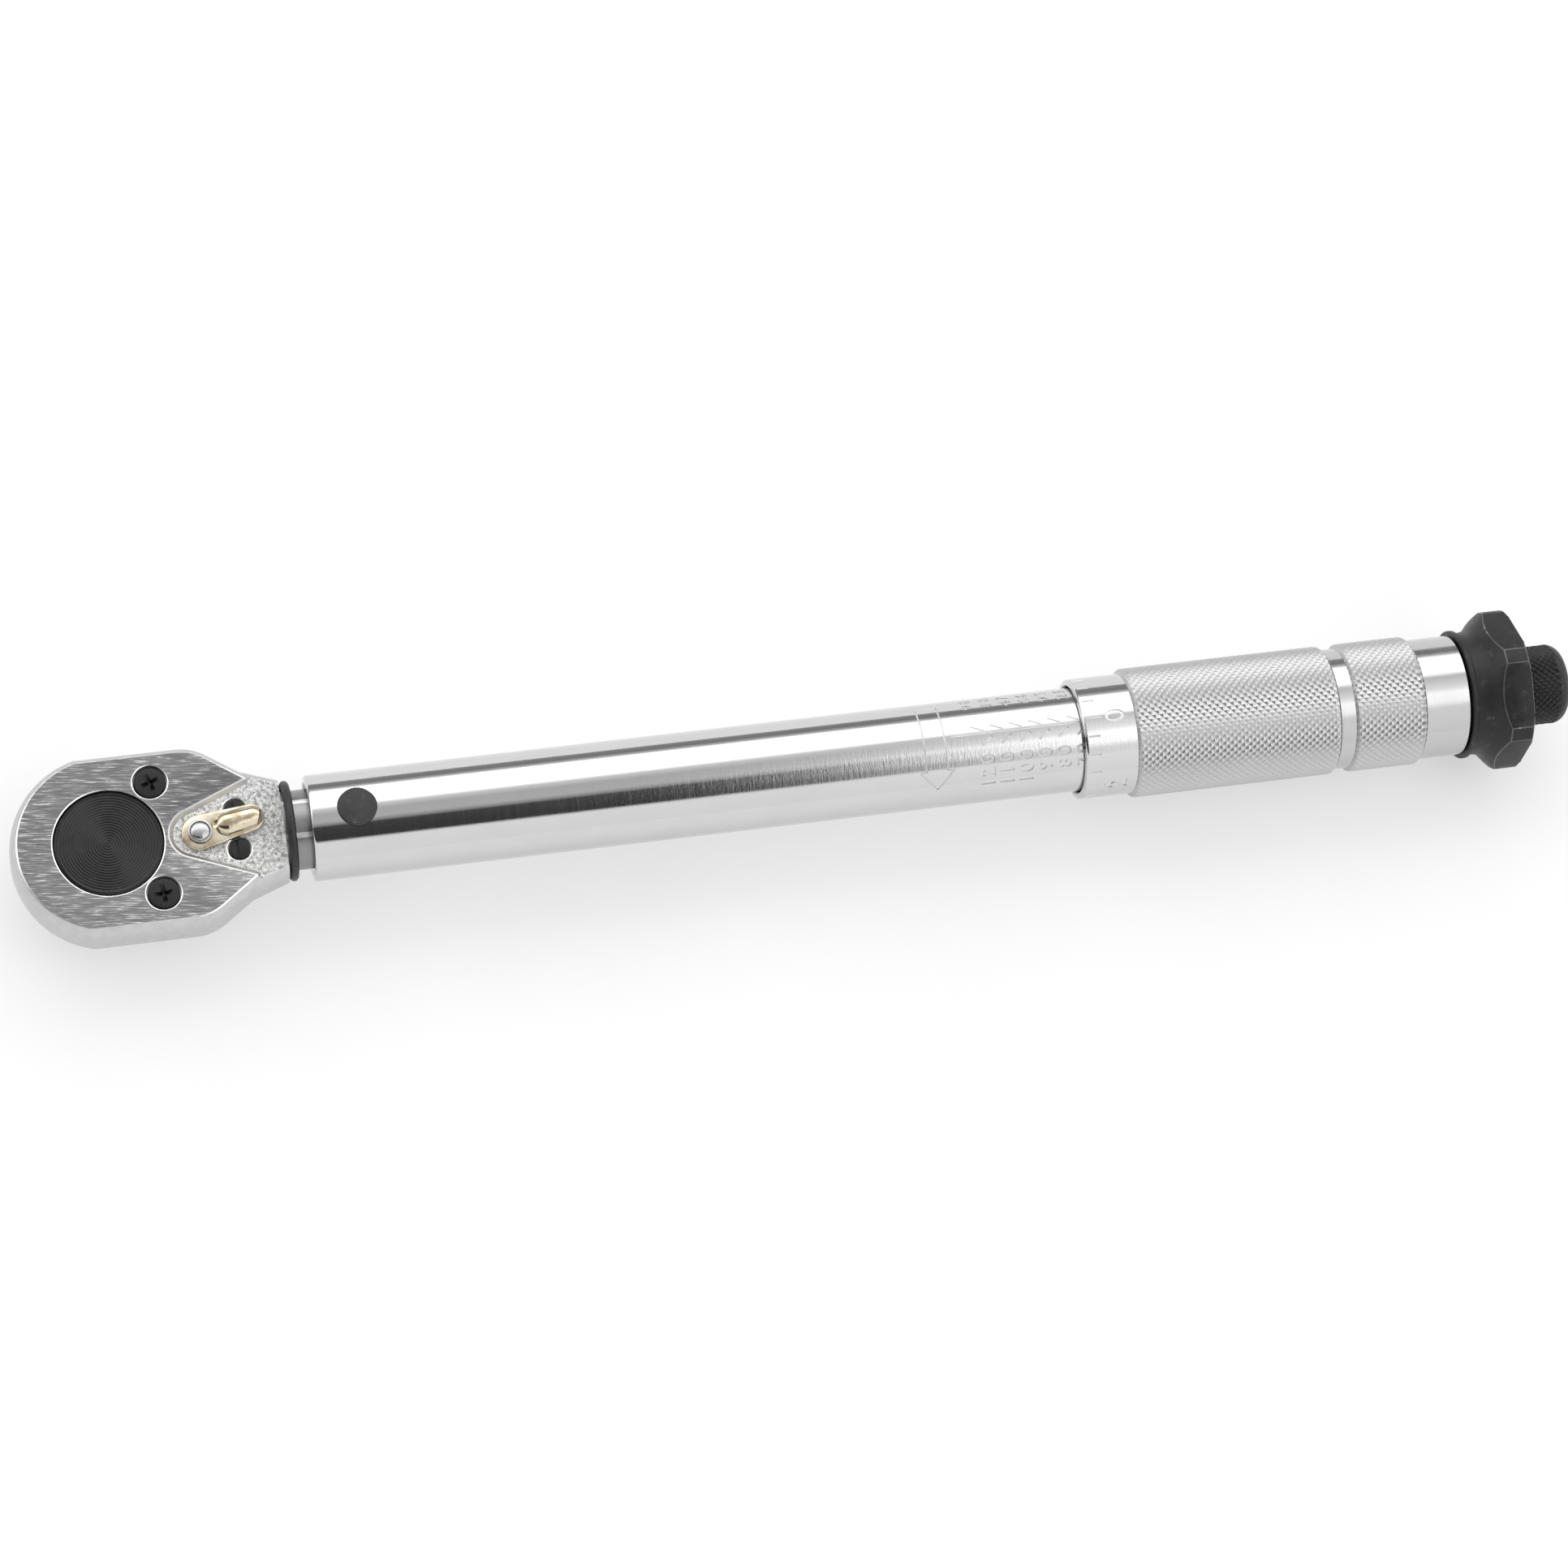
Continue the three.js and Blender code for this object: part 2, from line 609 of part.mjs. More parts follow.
function crossPin(x, radius, inner, outer) {
  return crossBar(radius, inner, outer, 14).translate(x, 0, 0);
}

// ---- Grip and lock ----------------------------------------------------------------------------

function grip() {
  const { front, sleeveRadius, knurlStart, knurlRadius, knurlEnd, bandRadius, end } = GRIP;
  const { grooveStart, grooveEnd } = GRIP;
  const chamfer = 0.9;
  return closed(turned(ringProfile([
    [front, GRIP.bore],
    [front, sleeveRadius - 0.6],
    [front + 0.6, sleeveRadius],
    [knurlStart, sleeveRadius],
    [knurlStart + 0.4, knurlRadius],
    [grooveStart - chamfer, knurlRadius],
    [grooveStart, bandRadius],
    [grooveEnd, bandRadius],
    [grooveEnd + 0.4, knurlRadius],
    [knurlEnd - chamfer, knurlRadius],
    [knurlEnd, bandRadius],
    [end, bandRadius],
    [end, END_NUT.bore],
    [GRIP.wall, END_NUT.bore],
    [GRIP.wall, GRIP.bore],
  ]), 'x', 40));
}

function endNut() {
  const { front, flangeRadius, flangeEnd, neckRadius, waist, hexFront, hexRear, bore } = END_NUT;
  const { acrossFlats, cornerRadius, chamfer } = END_NUT;
  const flareRadius = acrossFlats / 2 - GAP;
  const neck = turned(ringProfile([[front, bore], [front, flangeRadius - 0.3], [front + 0.3, flangeRadius],
    [flangeEnd, flangeRadius], [flangeEnd + 0.4, neckRadius - 0.4], [waist, neckRadius],
    [hexFront, flareRadius], [hexRear, flareRadius], [hexRear, bore]]));
  const hexRadius = acrossFlats / 2 / Math.cos(Math.PI / 6);
  const prism = new THREE.CylinderGeometry(hexRadius, hexRadius, hexRear - hexFront, 6).rotateY(Math.PI / 2);
  prism.rotateZ(-Math.PI / 2).rotateX(END_NUT.firstCorner);
  prism.translate((hexFront + hexRear) / 2, 0, 0);
  const blank = turned([[hexFront, 0], [hexFront, cornerRadius - 1.5 * chamfer],
    [hexFront + chamfer, cornerRadius], [hexRear - chamfer / 2, cornerRadius],
    [hexRear, cornerRadius - chamfer], [hexRear, 0]], 'x', 48);
  return cut(join(neck, overlapOf(prism, blank)), bar(bore, front - 1, hexRear + 1));
}

function lockRod() {
  const { tip, coneEnd, tipRadius, radius, end } = LOCK_ROD;
  return turned([[tip, 0], [tip, tipRadius], [coneEnd, radius], [end, radius], [end, 0]], 'x', SMALL);
}

function lockKnob() {
  const { front, end, radius, round } = KNOB;
  const profile = [[front, 0], [front, radius - 0.6], [front + 0.6, radius]];
  const arcSteps = 5;
  for (let step = 0; step <= arcSteps; step += 1) {
    const angle = (step / arcSteps) * (Math.PI / 2);
    profile.push([end - round + round * Math.sin(angle), radius - round + round * Math.cos(angle)]);
  }
  profile.push([end, 0]);
  const rodHole = bar(LOCK_ROD.radius + GAP, front - 1, LOCK_ROD.end + GAP);
  return cut(turned(profile, 'x', 28), rodHole);
}

// ---- Assembly ---------------------------------------------------------------------------------

const wrench = new THREE.Group();
wrench.position.z = AXIS_HEIGHT;

const leverGroup = new THREE.Group();
leverGroup.position.x = LEVER.x;
leverGroup.rotation.z = LEVER.angle;
wrench.add(leverGroup);

function place(name, material, geometry, position = [0, 0, 0], parent = wrench) {
  const mesh = new THREE.Mesh(closed(geometry), new THREE.MeshStandardMaterial(MATERIALS[material]));
  mesh.name = name;
  mesh.position.set(...position);
  parent.add(mesh);
  return mesh;
}

place('head_body', 'brushed', headBody());
place('ratchet_gear', 'black', ratchetGear());
place('cover_plate', 'steel', coverPlate());
place('pawl_1', 'steel', pawl());
place('pawl_2', 'steel', oppositePawl());
SIDES.forEach((side, i) => {
  place(`cover_screw_${i + 1}`, 'black', phillipsScrew(), [COVER_SCREW.x, side * COVER_SCREW.y, 0]);
  place(`pawl_pivot_${i + 1}`, 'black', slottedPivot(), [PAWL.pivot[0], side * PAWL.pivot[1], 0]);
  const seat = side * (PAWL.springSeat + GAP);
  const springMesh = place(`pawl_spring_${i + 1}`, 'spring', pawlSpring(), [PAWL.springX, seat, PAWL.springZ]);
  springMesh.rotation.z = (side * Math.PI) / 2;
});
place('reverse_lever', 'gold', reverseLever(), [0, 0, 0], leverGroup);
place('lever_shaft', 'steel', leverShaft(), [0, 0, 0], leverGroup);
place('detent_plunger', 'steel', detentPlunger());
place('detent_spring', 'spring', coilSpring({
  start: DETENT.end + GAP,
  end: DETENT.boreEnd - GAP,
  radius: 0.85,
  wire: 0.2,
  turns: 5,
  stepsPerTurn: 6,
  wireSides: 4,
}));
place('socket_ball', 'steel', ballAt(BALL.radius), [BALL.x, 0, BALL.z]);
place('socket_ball_spring', 'spring', coilSpring({
  start: BALL.x + BALL.radius + GAP,
  end: BALL.boreEnd - GAP,
  radius: 1.2,
  wire: 0.22,
  turns: 4,
  stepsPerTurn: 6,
  wireSides: 4,
}), [0, 0, BALL.z]);
place('neck_o_ring', 'rubber', oRing(), [O_RING.x, 0, 0]);

place('tube', 'chrome', tube());
place('pivot_pin', 'black', pivotPin(), [PIN.x, 0, 0]);
place('tilt_block', 'steel', tiltBlock());
place('plunger', 'steel', plunger());
place('main_spring', 'spring', coilSpring(MAIN_SPRING));
place('spring_seat', 'steel', springSeat());
place('thrust_ball', 'steel', ballAt(THRUST_BALL.radius), [THRUST_BALL.x, 0, 0]);
place('adjuster_nut', 'brass', adjusterNut());
place('adjusting_screw', 'steel', adjustingScrew());

place('grip', 'chrome', grip());
place('end_nut', 'black', endNut());
place('lock_rod', 'steel', lockRod());
place('lock_knob', 'black', lockKnob());
SIDES.forEach((side, i) => {
  const nutPin = crossPin(NUT.pinX, NUT.pinRadius, NUT.bore + GAP, TUBE.radius - GAP);
  const lockPin = crossPin(LOCK_PIN.x, LOCK_PIN.radius, LOCK_PIN.inner, LOCK_PIN.outer);
  const turn = side > 0 ? 0 : Math.PI;
  place(`nut_pin_${i + 1}`, 'steel', nutPin.rotateX(turn));
  place(`lock_pin_${i + 1}`, 'brass', lockPin.rotateX(turn));
});

const torqueWrench = new THREE.Group();
torqueWrench.add(wrench);

export default torqueWrench;
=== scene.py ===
"""Looks of the torque wrench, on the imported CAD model. Lengths are in mm, heights from the tube's axis."""
import json
import math

import bmesh
import bpy
from mathutils import Matrix, Vector


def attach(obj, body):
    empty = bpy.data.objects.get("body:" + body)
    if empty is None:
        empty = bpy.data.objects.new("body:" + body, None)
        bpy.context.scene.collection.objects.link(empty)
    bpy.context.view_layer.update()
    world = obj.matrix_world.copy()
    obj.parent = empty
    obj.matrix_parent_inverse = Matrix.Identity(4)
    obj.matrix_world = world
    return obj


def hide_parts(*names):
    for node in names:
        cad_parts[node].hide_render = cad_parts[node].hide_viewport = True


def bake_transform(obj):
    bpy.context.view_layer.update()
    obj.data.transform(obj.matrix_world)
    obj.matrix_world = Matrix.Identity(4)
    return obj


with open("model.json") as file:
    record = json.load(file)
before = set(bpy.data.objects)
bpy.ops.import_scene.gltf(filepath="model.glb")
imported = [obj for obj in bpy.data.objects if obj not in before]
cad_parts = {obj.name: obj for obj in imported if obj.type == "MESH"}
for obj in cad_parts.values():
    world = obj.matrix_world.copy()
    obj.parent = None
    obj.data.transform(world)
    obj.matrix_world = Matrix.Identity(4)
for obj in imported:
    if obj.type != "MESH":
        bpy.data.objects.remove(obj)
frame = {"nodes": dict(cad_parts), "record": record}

MM = 0.001
AXIS = 18  # height of the tube's axis over the drive's end face
GAP = 0.3  # clearance between pieces
PAST = 1  # how far a cutter runs past the face that it cuts
ROUND = 192  # sides of a large round surface
SMALL_ROUND = 64

CAMERA = {
    "location": (-28.33, -314.25, 942.26),
    "elevation": 71.692,  # degrees of the view above the floor, before yaw and roll
    "yaw": -10.006,
    "roll": -6.695,
    "lens": 105.85,
}

HEAD = {"face": 6.2, "half_width": 18.6, "nose": 19.3, "shoulder_start": 16.5, "shoulder_corner": 19.5,
        "shoulder": (22.2, 16.7), "tip": (30.2, 11), "bulge": 1.6, "edge": 0.15}
RECESS = {"floor": 5.3, "x": 18.3, "radius": 4.6, "angle": math.radians(22.4), "end": 37.25}
NECK = {"start": 25, "start_radius": 15.4, "end": 37.25, "end_radius": 11.1}
TAIL = {"start": 36, "radius": 8.6, "round_end": 60, "end": 101, "half_width": 5, "half_height": 6}
POCKET = {"start": 9, "taper": 24, "end": 30.9, "half_width": 10.1, "end_half_width": 8.6, "top": 3.2}
CAVITY = {"radius": 13.3, "top": 3.4}
COVER = {"top": -4.2, "bottom": -6.2, "nose": 17, "half_width": 16.3, "waist": 18, "end": 31.5,
         "end_half_width": 9}
SCREW_AT = (10.2, 12.5)
SCREW = {"radius": 3.45, "top": 5.9, "bottom": 4.5, "shank": 1.7, "end": -6}
PIVOT_AT = (27.3, 4.4)
PIVOT = {"radius": 2.3, "top": 5.2, "bottom": 4.2, "shank": 1.5, "end": -5.9, "slot": 0.55}
GEAR = {"teeth": 36, "tip": 13, "root": 12, "top": 3.1, "bottom": -3.9, "disc": 11.5, "disc_top": 6.1,
        "bore": 11.8, "collar": 8.8, "collar_bottom": -7.2}
DRIVE = {"half": 4.7625, "corner": 0.9, "chamfer": 0.9, "end": -18}
BALL = {"radius": 1.7, "x": -4, "z": -12.6, "bore": 1.95, "bore_end": 2.2}
LEVER = {"x": 19.4, "angle": math.radians(10.5), "hub": 3.9, "length": 11.2, "end": 3, "bottom": 5.5,
         "top": 6.4, "bar_start": 6, "bar_end": 11.6, "bar": 2.7, "bar_end_radius": 2.45, "bar_top": 8.4,
         "dimple": (3.5, 0.6)}
SHAFT = {"radius": 1.9, "bore": 2.2, "head": 2.6, "head_top": 7.6, "journal": 1.4, "end": -5.4}
PADDLE = {"length": 5, "half_width": 2.4, "top": 2.8, "bottom": -3.6}
DETENT = {"bore": 1.4, "end": 38, "spring_start": 33.3}
O_RING = {"x": 38.5, "centre": 9.9, "wire": 0.95}
TUBE = {"radius": 11.5, "bore": 10, "front": 42.7, "rear": 269.5}
PIN = {"x": 52.8, "radius": 4.2, "reach": 11.65}
NUT_PIN = {"x": 261, "radius": 1.2}
SCALE = {"zero": 212.1, "zero_value": 70, "pitch": 4.3, "first": 20, "last": 120, "step": 10, "arrow": 179}
# Digits stand first and apart degrees from the top towards -y. The small numbers give the value times unit.
NUMBERS = {"size": 4.5, "first": 29, "apart": 14.5}
SMALL_NUMBERS = {"size": 3.6, "first": -50.5, "apart": 12.5, "lead": 2.4, "unit": 0.7376}
GRIP = {"front": 212.1, "sleeve": 13.33, "knurl_start": 223.9, "knurl": 14.37, "groove_start": 270.5,
        "groove_end": 273.8, "knurl_end": 290.3, "band": 13.4, "end": 300.5, "bore": 11.8, "wall": 296,
        "wall_bore": 5.4}
TICKS = {"count": 20, "start": 0.9, "end": 3.4, "long_end": 4.6, "width": 0.45, "digit": 6, "digit_at": 7.6}
NUT = {"front": 300.8, "flange": 14.4, "flange_end": 301.8, "neck": 14, "waist": 305.3, "hex_front": 308.6,
       "hex_rear": 314.1, "across_flats": 32.2, "corner": 17.7, "bore": 5.4,
       "first_corner": math.radians(24.7)}
MAIN_SPRING = {"start": 122.6, "end": 208, "radius": 7.1, "wire": 1.5, "turns": 11, "split": 131,
               "seat": 204}
DETENT_SPRING = {"radius": 0.85, "wire": 0.2, "turns": 5}
BALL_SPRING = {"radius": 1.2, "wire": 0.22, "turns": 4}
PAWL_SPRING = {"radius": 0.95, "wire": 0.22, "turns": 5, "x": 20.5, "height": -0.5, "seat": 5.5}
KNOB = {"front": 314.5, "end": 326, "radius": 8.93, "round": 3.2, "hole": 2.4, "hole_end": 320.3}

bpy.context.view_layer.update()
scene = bpy.context.scene


# ---- Meshes ----

def shares(steps):
    """Evenly spaced numbers from 0 to 1."""
    return [step / steps for step in range(steps + 1)]


def shown(name, data):
    """A new object in the scene."""
    obj = bpy.data.objects.new(name, data)
    scene.collection.objects.link(obj)
    return obj


def solid(name, points, faces):
    """An object from points in mm, with its doubled corners joined and its faces pointing out."""
    mesh = bpy.data.meshes.new(name)
    mesh.from_pydata([(x * MM, y * MM, (z + AXIS) * MM) for x, y, z in points], [], faces)
    work = bmesh.new()
    work.from_mesh(mesh)
    bmesh.ops.remove_doubles(work, verts=work.verts, dist=1e-7)
    bmesh.ops.recalc_face_normals(work, faces=work.faces)
    work.to_mesh(mesh)
    work.free()
    return shown(name, mesh)


def rounded(corners, steps=5):
    """An outline whose corners (u, v, radius) are rounded; a corner (u, v) stays sharp."""
    outline = []
    for i, (u, v, *radius) in enumerate(corners):
        here = Vector((u, v))
        if not radius:
            outline.append((u, v))
            continue
        before = (Vector(corners[i - 1][:2]) - here).normalized()
        after = (Vector(corners[(i + 1) % len(corners)][:2]) - here).normalized()
        half = before.angle(after) / 2
        centre = here + (before + after).normalized() * radius[0] / math.sin(half)
        start = here + before * radius[0] / math.tan(half) - centre
        end = here + after * radius[0] / math.tan(half) - centre
        turn = start.angle(end)
        for part in shares(steps):
            arm = (start * math.sin((1 - part) * turn) + end * math.sin(part * turn)) / math.sin(turn)
            outline.append(tuple(centre + arm))
    return outline


def turned(name, profile, axis="x", centre=(0, 0), sides=SMALL_ROUND, ring=False, relief=None):
    """Turns (distance, radius) points about the tube's axis, or about a vertical axis through centre."""
    points, faces, rings = [], [], []
    for row, (along, radius) in enumerate(profile):
        first = len(points)
        count = 1 if radius < 1e-6 else sides
        for side in range(count):
            angle = 2 * math.pi * side / sides
            reach = radius + (relief(row, side) if relief else 0)
            across, up = reach * math.cos(angle), reach * math.sin(angle)
            if axis == "x":
                points.append((along, across, up))
            else:
                points.append((centre[0] + across, centre[1] + up, along))
        rings.append([first + side % count for side in range(sides)])
    if ring:
        rings.append(rings[0])
    for near, far in zip(rings, rings[1:]):
        for side in range(sides):
            after = (side + 1) % sides
            face = list(dict.fromkeys((near[side], near[after], far[after], far[side])))
            if relief and len(face) == 4:
                faces += split_along_valley(points, face)
            elif len(face) > 2:
                faces.append(face)
    return solid(name, points, faces)


def split_along_valley(points, face):
    """Cuts a bent four-sided face along its lower diagonal, so that a groove's floor stays straight."""
    depth = [math.hypot(points[corner][1], points[corner][2]) for corner in face]
    a, b, c, d = face
    if depth[0] + depth[2] < depth[1] + depth[3] - 1e-6:
        return [(a, b, c), (a, c, d)]
    if depth[1] + depth[3] < depth[0] + depth[2] - 1e-6:
        return [(a, b, d), (b, c, d)]
    return [face]


def lofted(name, sections):
    """Joins outlines of equal length. A section is a list of (x, y, z) points."""
    count = len(sections[0])
    points = [point for section in sections for point in section]
    faces = [list(range(count)), list(range(len(points) - count, len(points)))]
    for near in range(0, len(points) - count, count):
        far = near + count
        for i in range(count):
            j = (i + 1) % count
            faces.append((near + i, near + j, far + j, far + i))
    return solid(name, points, faces)


def stacked(name, outline, levels):
    """Lofts outline(grow) through (grow, height) levels."""
    return lofted(name, [[(x, y, height) for x, y in outline(grow)] for grow, height in levels])


def block(name, x, y, z):
    """A cutting box between the (low, high) pairs x, y and z."""
    return lofted(name, [[(x[0], y[0], h), (x[1], y[0], h), (x[1], y[1], h), (x[0], y[1], h)] for h in z])


def bar(name, radius, low, high, centre=(0, 0), rim=0, sides=SMALL_ROUND):
    """A vertical cutting bar. With a rim, it leans out near its top, by rim at the height high."""
    mouth = radius + (rim + 2 * PAST if rim else 0)
    profile = [(low, 0), (low, radius), (high - rim / 2, radius), (high + PAST, mouth), (high + PAST, 0)]
    return turned(name, profile, "z", centre, sides)


def bar_x(name, radius, low, high, height=0, sides=SMALL_ROUND):
    """A bar along the tool, at a height over the tube's axis."""
    tool = turned(name, [(low, 0), (low, radius), (high, radius), (high, 0)], sides=sides)
    return shifted(tool, 0, 0, height)


def carve(obj, tools, operation="DIFFERENCE"):
    """Cuts the tools out of an object, or joins them to it, and removes them."""
    for tool in tools:
        step = obj.modifiers.new(tool.name, "BOOLEAN")
        step.operation = operation
        step.solver = "MANIFOLD"
        step.object = tool
    graph = bpy.context.evaluated_depsgraph_get()
    mesh = bpy.data.meshes.new_from_object(obj.evaluated_get(graph))
    obj.modifiers.clear()
    obj.data = mesh
    for tool in tools:
        bpy.data.objects.remove(tool)


def rub_edges(obj, width, rubbed):
    """Cuts a narrow flat, in the second material, along the sharp edges that rubbed(edge) picks."""
    sharp = 0.35  # radians between the faces
    work = bmesh.new()
    work.from_mesh(obj.data)
    edges = [edge for edge in work.edges if edge.calc_face_angle(0) > sharp and rubbed(edge)]
    bmesh.ops.bevel(work, geom=edges, offset=width * MM, segments=1, affect="EDGES", material=1)
    work.to_mesh(obj.data)
    work.free()


def shifted(obj, x, y, z):
    obj.data.transform(Matrix.Translation((x * MM, y * MM, z * MM)))
    return obj


def rotated(obj, angle, centre):
    """Turns a piece about a vertical axis."""
    there = Matrix.Translation((centre[0] * MM, centre[1] * MM, 0))
    obj.data.transform(there @ Matrix.Rotation(angle, 4, "Z") @ there.inverted())
    return obj


def finish(obj, node, body, materials, choose=None, sharp=32):
    """Gives a piece its materials and shading, and ties it to its body and the CAD node it stands for."""
    mesh = obj.data
    chosen = [choose(face) if choose else 0 for face in mesh.polygons]
    mesh.materials.clear()
    for material in materials:
        mesh.materials.append(material)
    mesh.polygons.foreach_set("material_index", chosen)
    mesh.shade_smooth()
    mesh.set_sharp_from_angle(angle=math.radians(sharp))
    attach(obj, body)
    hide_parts(node)
    return obj


def height_of(face):
    return face.center.z / MM - AXIS


def distance_from_axis(point):
    return math.hypot(point.y, point.z - AXIS * MM) / MM


def keep_round(obj, radii):
    """Gives the faces on round surfaces about the tube's axis the normals of a true cylinder."""
    mesh = obj.data
    within, facing = 0.03, 0.99
    normals = [corner.vector.copy() for corner in mesh.corner_normals]
    for face in mesh.polygons:
        outward = Vector((0, face.center.y, face.center.z - AXIS * MM)).normalized()
        near = any(abs(distance_from_axis(face.center) - radius) < within for radius in radii)
        if near and face.normal.dot(outward) > facing:
            for loop in face.loop_indices:
                place = mesh.vertices[mesh.loops[loop].vertex_index].co
                normals[loop] = Vector((0, place.y, place.z - AXIS * MM)).normalized()
    mesh.normals_split_custom_set(normals)


# ---- Materials ----

def rgba(colour):
    """A shader colour from (red, green, blue), or from one number for a grey."""
    return (*colour, 1) if isinstance(colour, tuple) else (colour, colour, colour, 1)


def surface(name, colour, roughness, metallic=1.0):
    """A material, its node tree and its shader."""
    material = bpy.data.materials.new(name)
    material.use_nodes = True
    tree = material.node_tree
    shader = tree.nodes["Principled BSDF"]
    shader.inputs["Base Color"].default_value = rgba(colour)
    shader.inputs["Roughness"].default_value = roughness
    shader.inputs["Metallic"].default_value = metallic
    return material, tree, shader


def add_node(tree, kind, inputs, **settings):
    """A shader node. Each input is a number, a vector, or the output that feeds it."""
    node = tree.nodes.new("ShaderNode" + kind)
    for setting, value in settings.items():
        setattr(node, setting, value)
    for name, value in inputs.items():
        if isinstance(value, bpy.types.NodeSocket):
            tree.links.new(value, node.inputs[name])
        else:
            node.inputs[name].default_value = value
    return node


def grain(tree, scale, detail=3, roughness=0.5, turn=0):
    """Noise in the object's own space, turned about z. scale is in features per mm along x, y and z."""
    place = add_node(tree, "TexCoord", {}).outputs["Object"]
    rotate = add_node(tree, "VectorRotate", {"Vector": place, "Angle": turn}, rotation_type="Z_AXIS")
    scales = [s / MM for s in scale]
    mapping = add_node(tree, "Mapping", {"Vector": rotate.outputs["Vector"], "Scale": scales})
    noise = add_node(tree, "TexNoise", {"Vector": mapping.outputs["Vector"], "Scale": 1, "Detail": detail,
                                        "Roughness": roughness})
    return noise.outputs["Fac"]


def blend_colours(tree, factor, stops):
    """Maps noise to colours through (position, colour) stops."""
    node = add_node(tree, "ValToRGB", {"Fac": factor})
    elements = node.color_ramp.elements
    while len(elements) < len(stops):
        elements.new(0.5)
    for element, (position, colour) in zip(elements, stops):
        element.position = position
        element.color = rgba(colour)
    return node.outputs["Color"]


def spread(tree, factor, low, high, start=0.3, end=0.7):
    """Maps noise to a range, such as a roughness."""
    span = {"Value": factor, "From Min": start, "From Max": end, "To Min": low, "To Max": high}
    return add_node(tree, "MapRange", span).outputs["Result"]


def dress(material, colour, roughness, height, depth):
    """Feeds the shader a colour, a roughness and a bump, which raises the surface by depth mm."""
    tree = material.node_tree
    shader = tree.nodes["Principled BSDF"]
    bump = add_node(tree, "Bump", {"Height": height, "Strength": 1, "Distance": depth * MM})
    tree.links.new(bump.outputs["Normal"], shader.inputs["Normal"])
    tree.links.new(colour, shader.inputs["Base Color"])
    if roughness:
        tree.links.new(roughness, shader.inputs["Roughness"])
    return material


def brushed_steel():
    """Ground face: long fine scratches along the tool, some of them bright."""
    material, tree, shader = surface("brushed_face", 0.3, 0.4)
    shader.inputs["Anisotropic"].default_value = 0.5
    turn = math.radians(7)
    streaks = grain(tree, (0.25, 4.5, 1), 4, 0.6, turn)
    tones = [(0.3, 0.14), (0.5, 0.2), (0.58, 0.28), (0.7, 0.85)]
    gloss = spread(tree, grain(tree, (0.1, 5, 1), turn=turn), 0.32, 0.48)
    return dress(material, blend_colours(tree, streaks, tones), gloss, streaks, 0.02)


def satin_steel(name, value, low, high, scale=(0.5, 0.5, 0.5), depth=0.004):
    """Polished or turned steel with faint clouding."""
    material, tree, _ = surface(name, value, low)
    cloud = grain(tree, scale)
    colour = blend_colours(tree, cloud, [(0.3, value * 0.88), (0.7, value)])
    return dress(material, colour, spread(tree, cloud, low, high), grain(tree, (3, 3, 3)), depth)


def cast_steel():
    """Rough as-forged floor that glitters."""
    material, tree, _ = surface("rough_floor", 0.7, 0.3)
    pits = grain(tree, (1.2, 1.2, 1.2), 4, 0.7)
    colour = blend_colours(tree, pits, [(0.36, 0.28), (0.5, 0.64), (0.64, 0.92)])
    return dress(material, colour, spread(tree, pits, 0.28, 0.14), pits, 0.6)


def chrome(name, value, low, high):
    """Bright plate: the polishing marks run round the tube, so they break up the edges of reflections."""
    material, tree, _ = surface(name, value, low)
    gloss = spread(tree, grain(tree, (2.6, 0.05, 0.05), 4, 0.65), low, high)
    cloud = grain(tree, (0.12, 0.2, 0.2))
    colour = blend_colours(tree, cloud, [(0.3, value * 0.97), (0.7, (value, value * 1.003, value * 1.008))])
    return dress(material, colour, gloss, grain(tree, (1.8, 0.4, 0.4), 4, 0.7), 0.009)


def black_oxide(name, value, roughness, worn=None):
    """Blackened steel, a little mottled, rubbed paler where it is worn."""
    material, tree, _ = surface(name, value, roughness, metallic=0.55)
    mottle = grain(tree, (0.45, 0.45, 0.45), 5, 0.6)
    top = worn or value * 1.7
    colour = blend_colours(tree, mottle, [(0.35, value * 0.8), (0.6, value), (0.78, top)])
    gloss = spread(tree, mottle, roughness - 0.05, roughness + 0.1)
    return dress(material, colour, gloss, grain(tree, (4, 4, 4)), 0.01)


def pale_gold():
    material, tree, _ = surface("pale_gold", (0.68, 0.61, 0.46), 0.15)
    cloud = grain(tree, (0.3, 0.3, 0.3))
    tones = [(0.35, (0.4, 0.32, 0.2)), (0.5, (0.66, 0.59, 0.44)), (0.65, (0.76, 0.7, 0.56))]
    gloss = spread(tree, grain(tree, (2, 2, 2)), 0.1, 0.2)
    return dress(material, blend_colours(tree, cloud, tones), gloss, grain(tree, (0.6, 0.6, 0.6)), 0.02)


def rubber():
    material, tree, _ = surface("rubber", 0.012, 0.45, metallic=0)
    cloud = grain(tree, (1.5, 1.5, 1.5))
    colour = blend_colours(tree, cloud, [(0.3, 0.009), (0.7, 0.018)])
    return dress(material, colour, spread(tree, cloud, 0.38, 0.55), grain(tree, (6, 6, 6)), 0.01)


def brass():
    material, tree, _ = surface("machined_brass", (0.62, 0.46, 0.22), 0.3)
    rings = grain(tree, (3, 0.2, 0.2))
    colour = blend_colours(tree, rings, [(0.3, (0.55, 0.4, 0.18)), (0.7, (0.68, 0.52, 0.27))])
    return dress(material, colour, None, rings, 0.01)


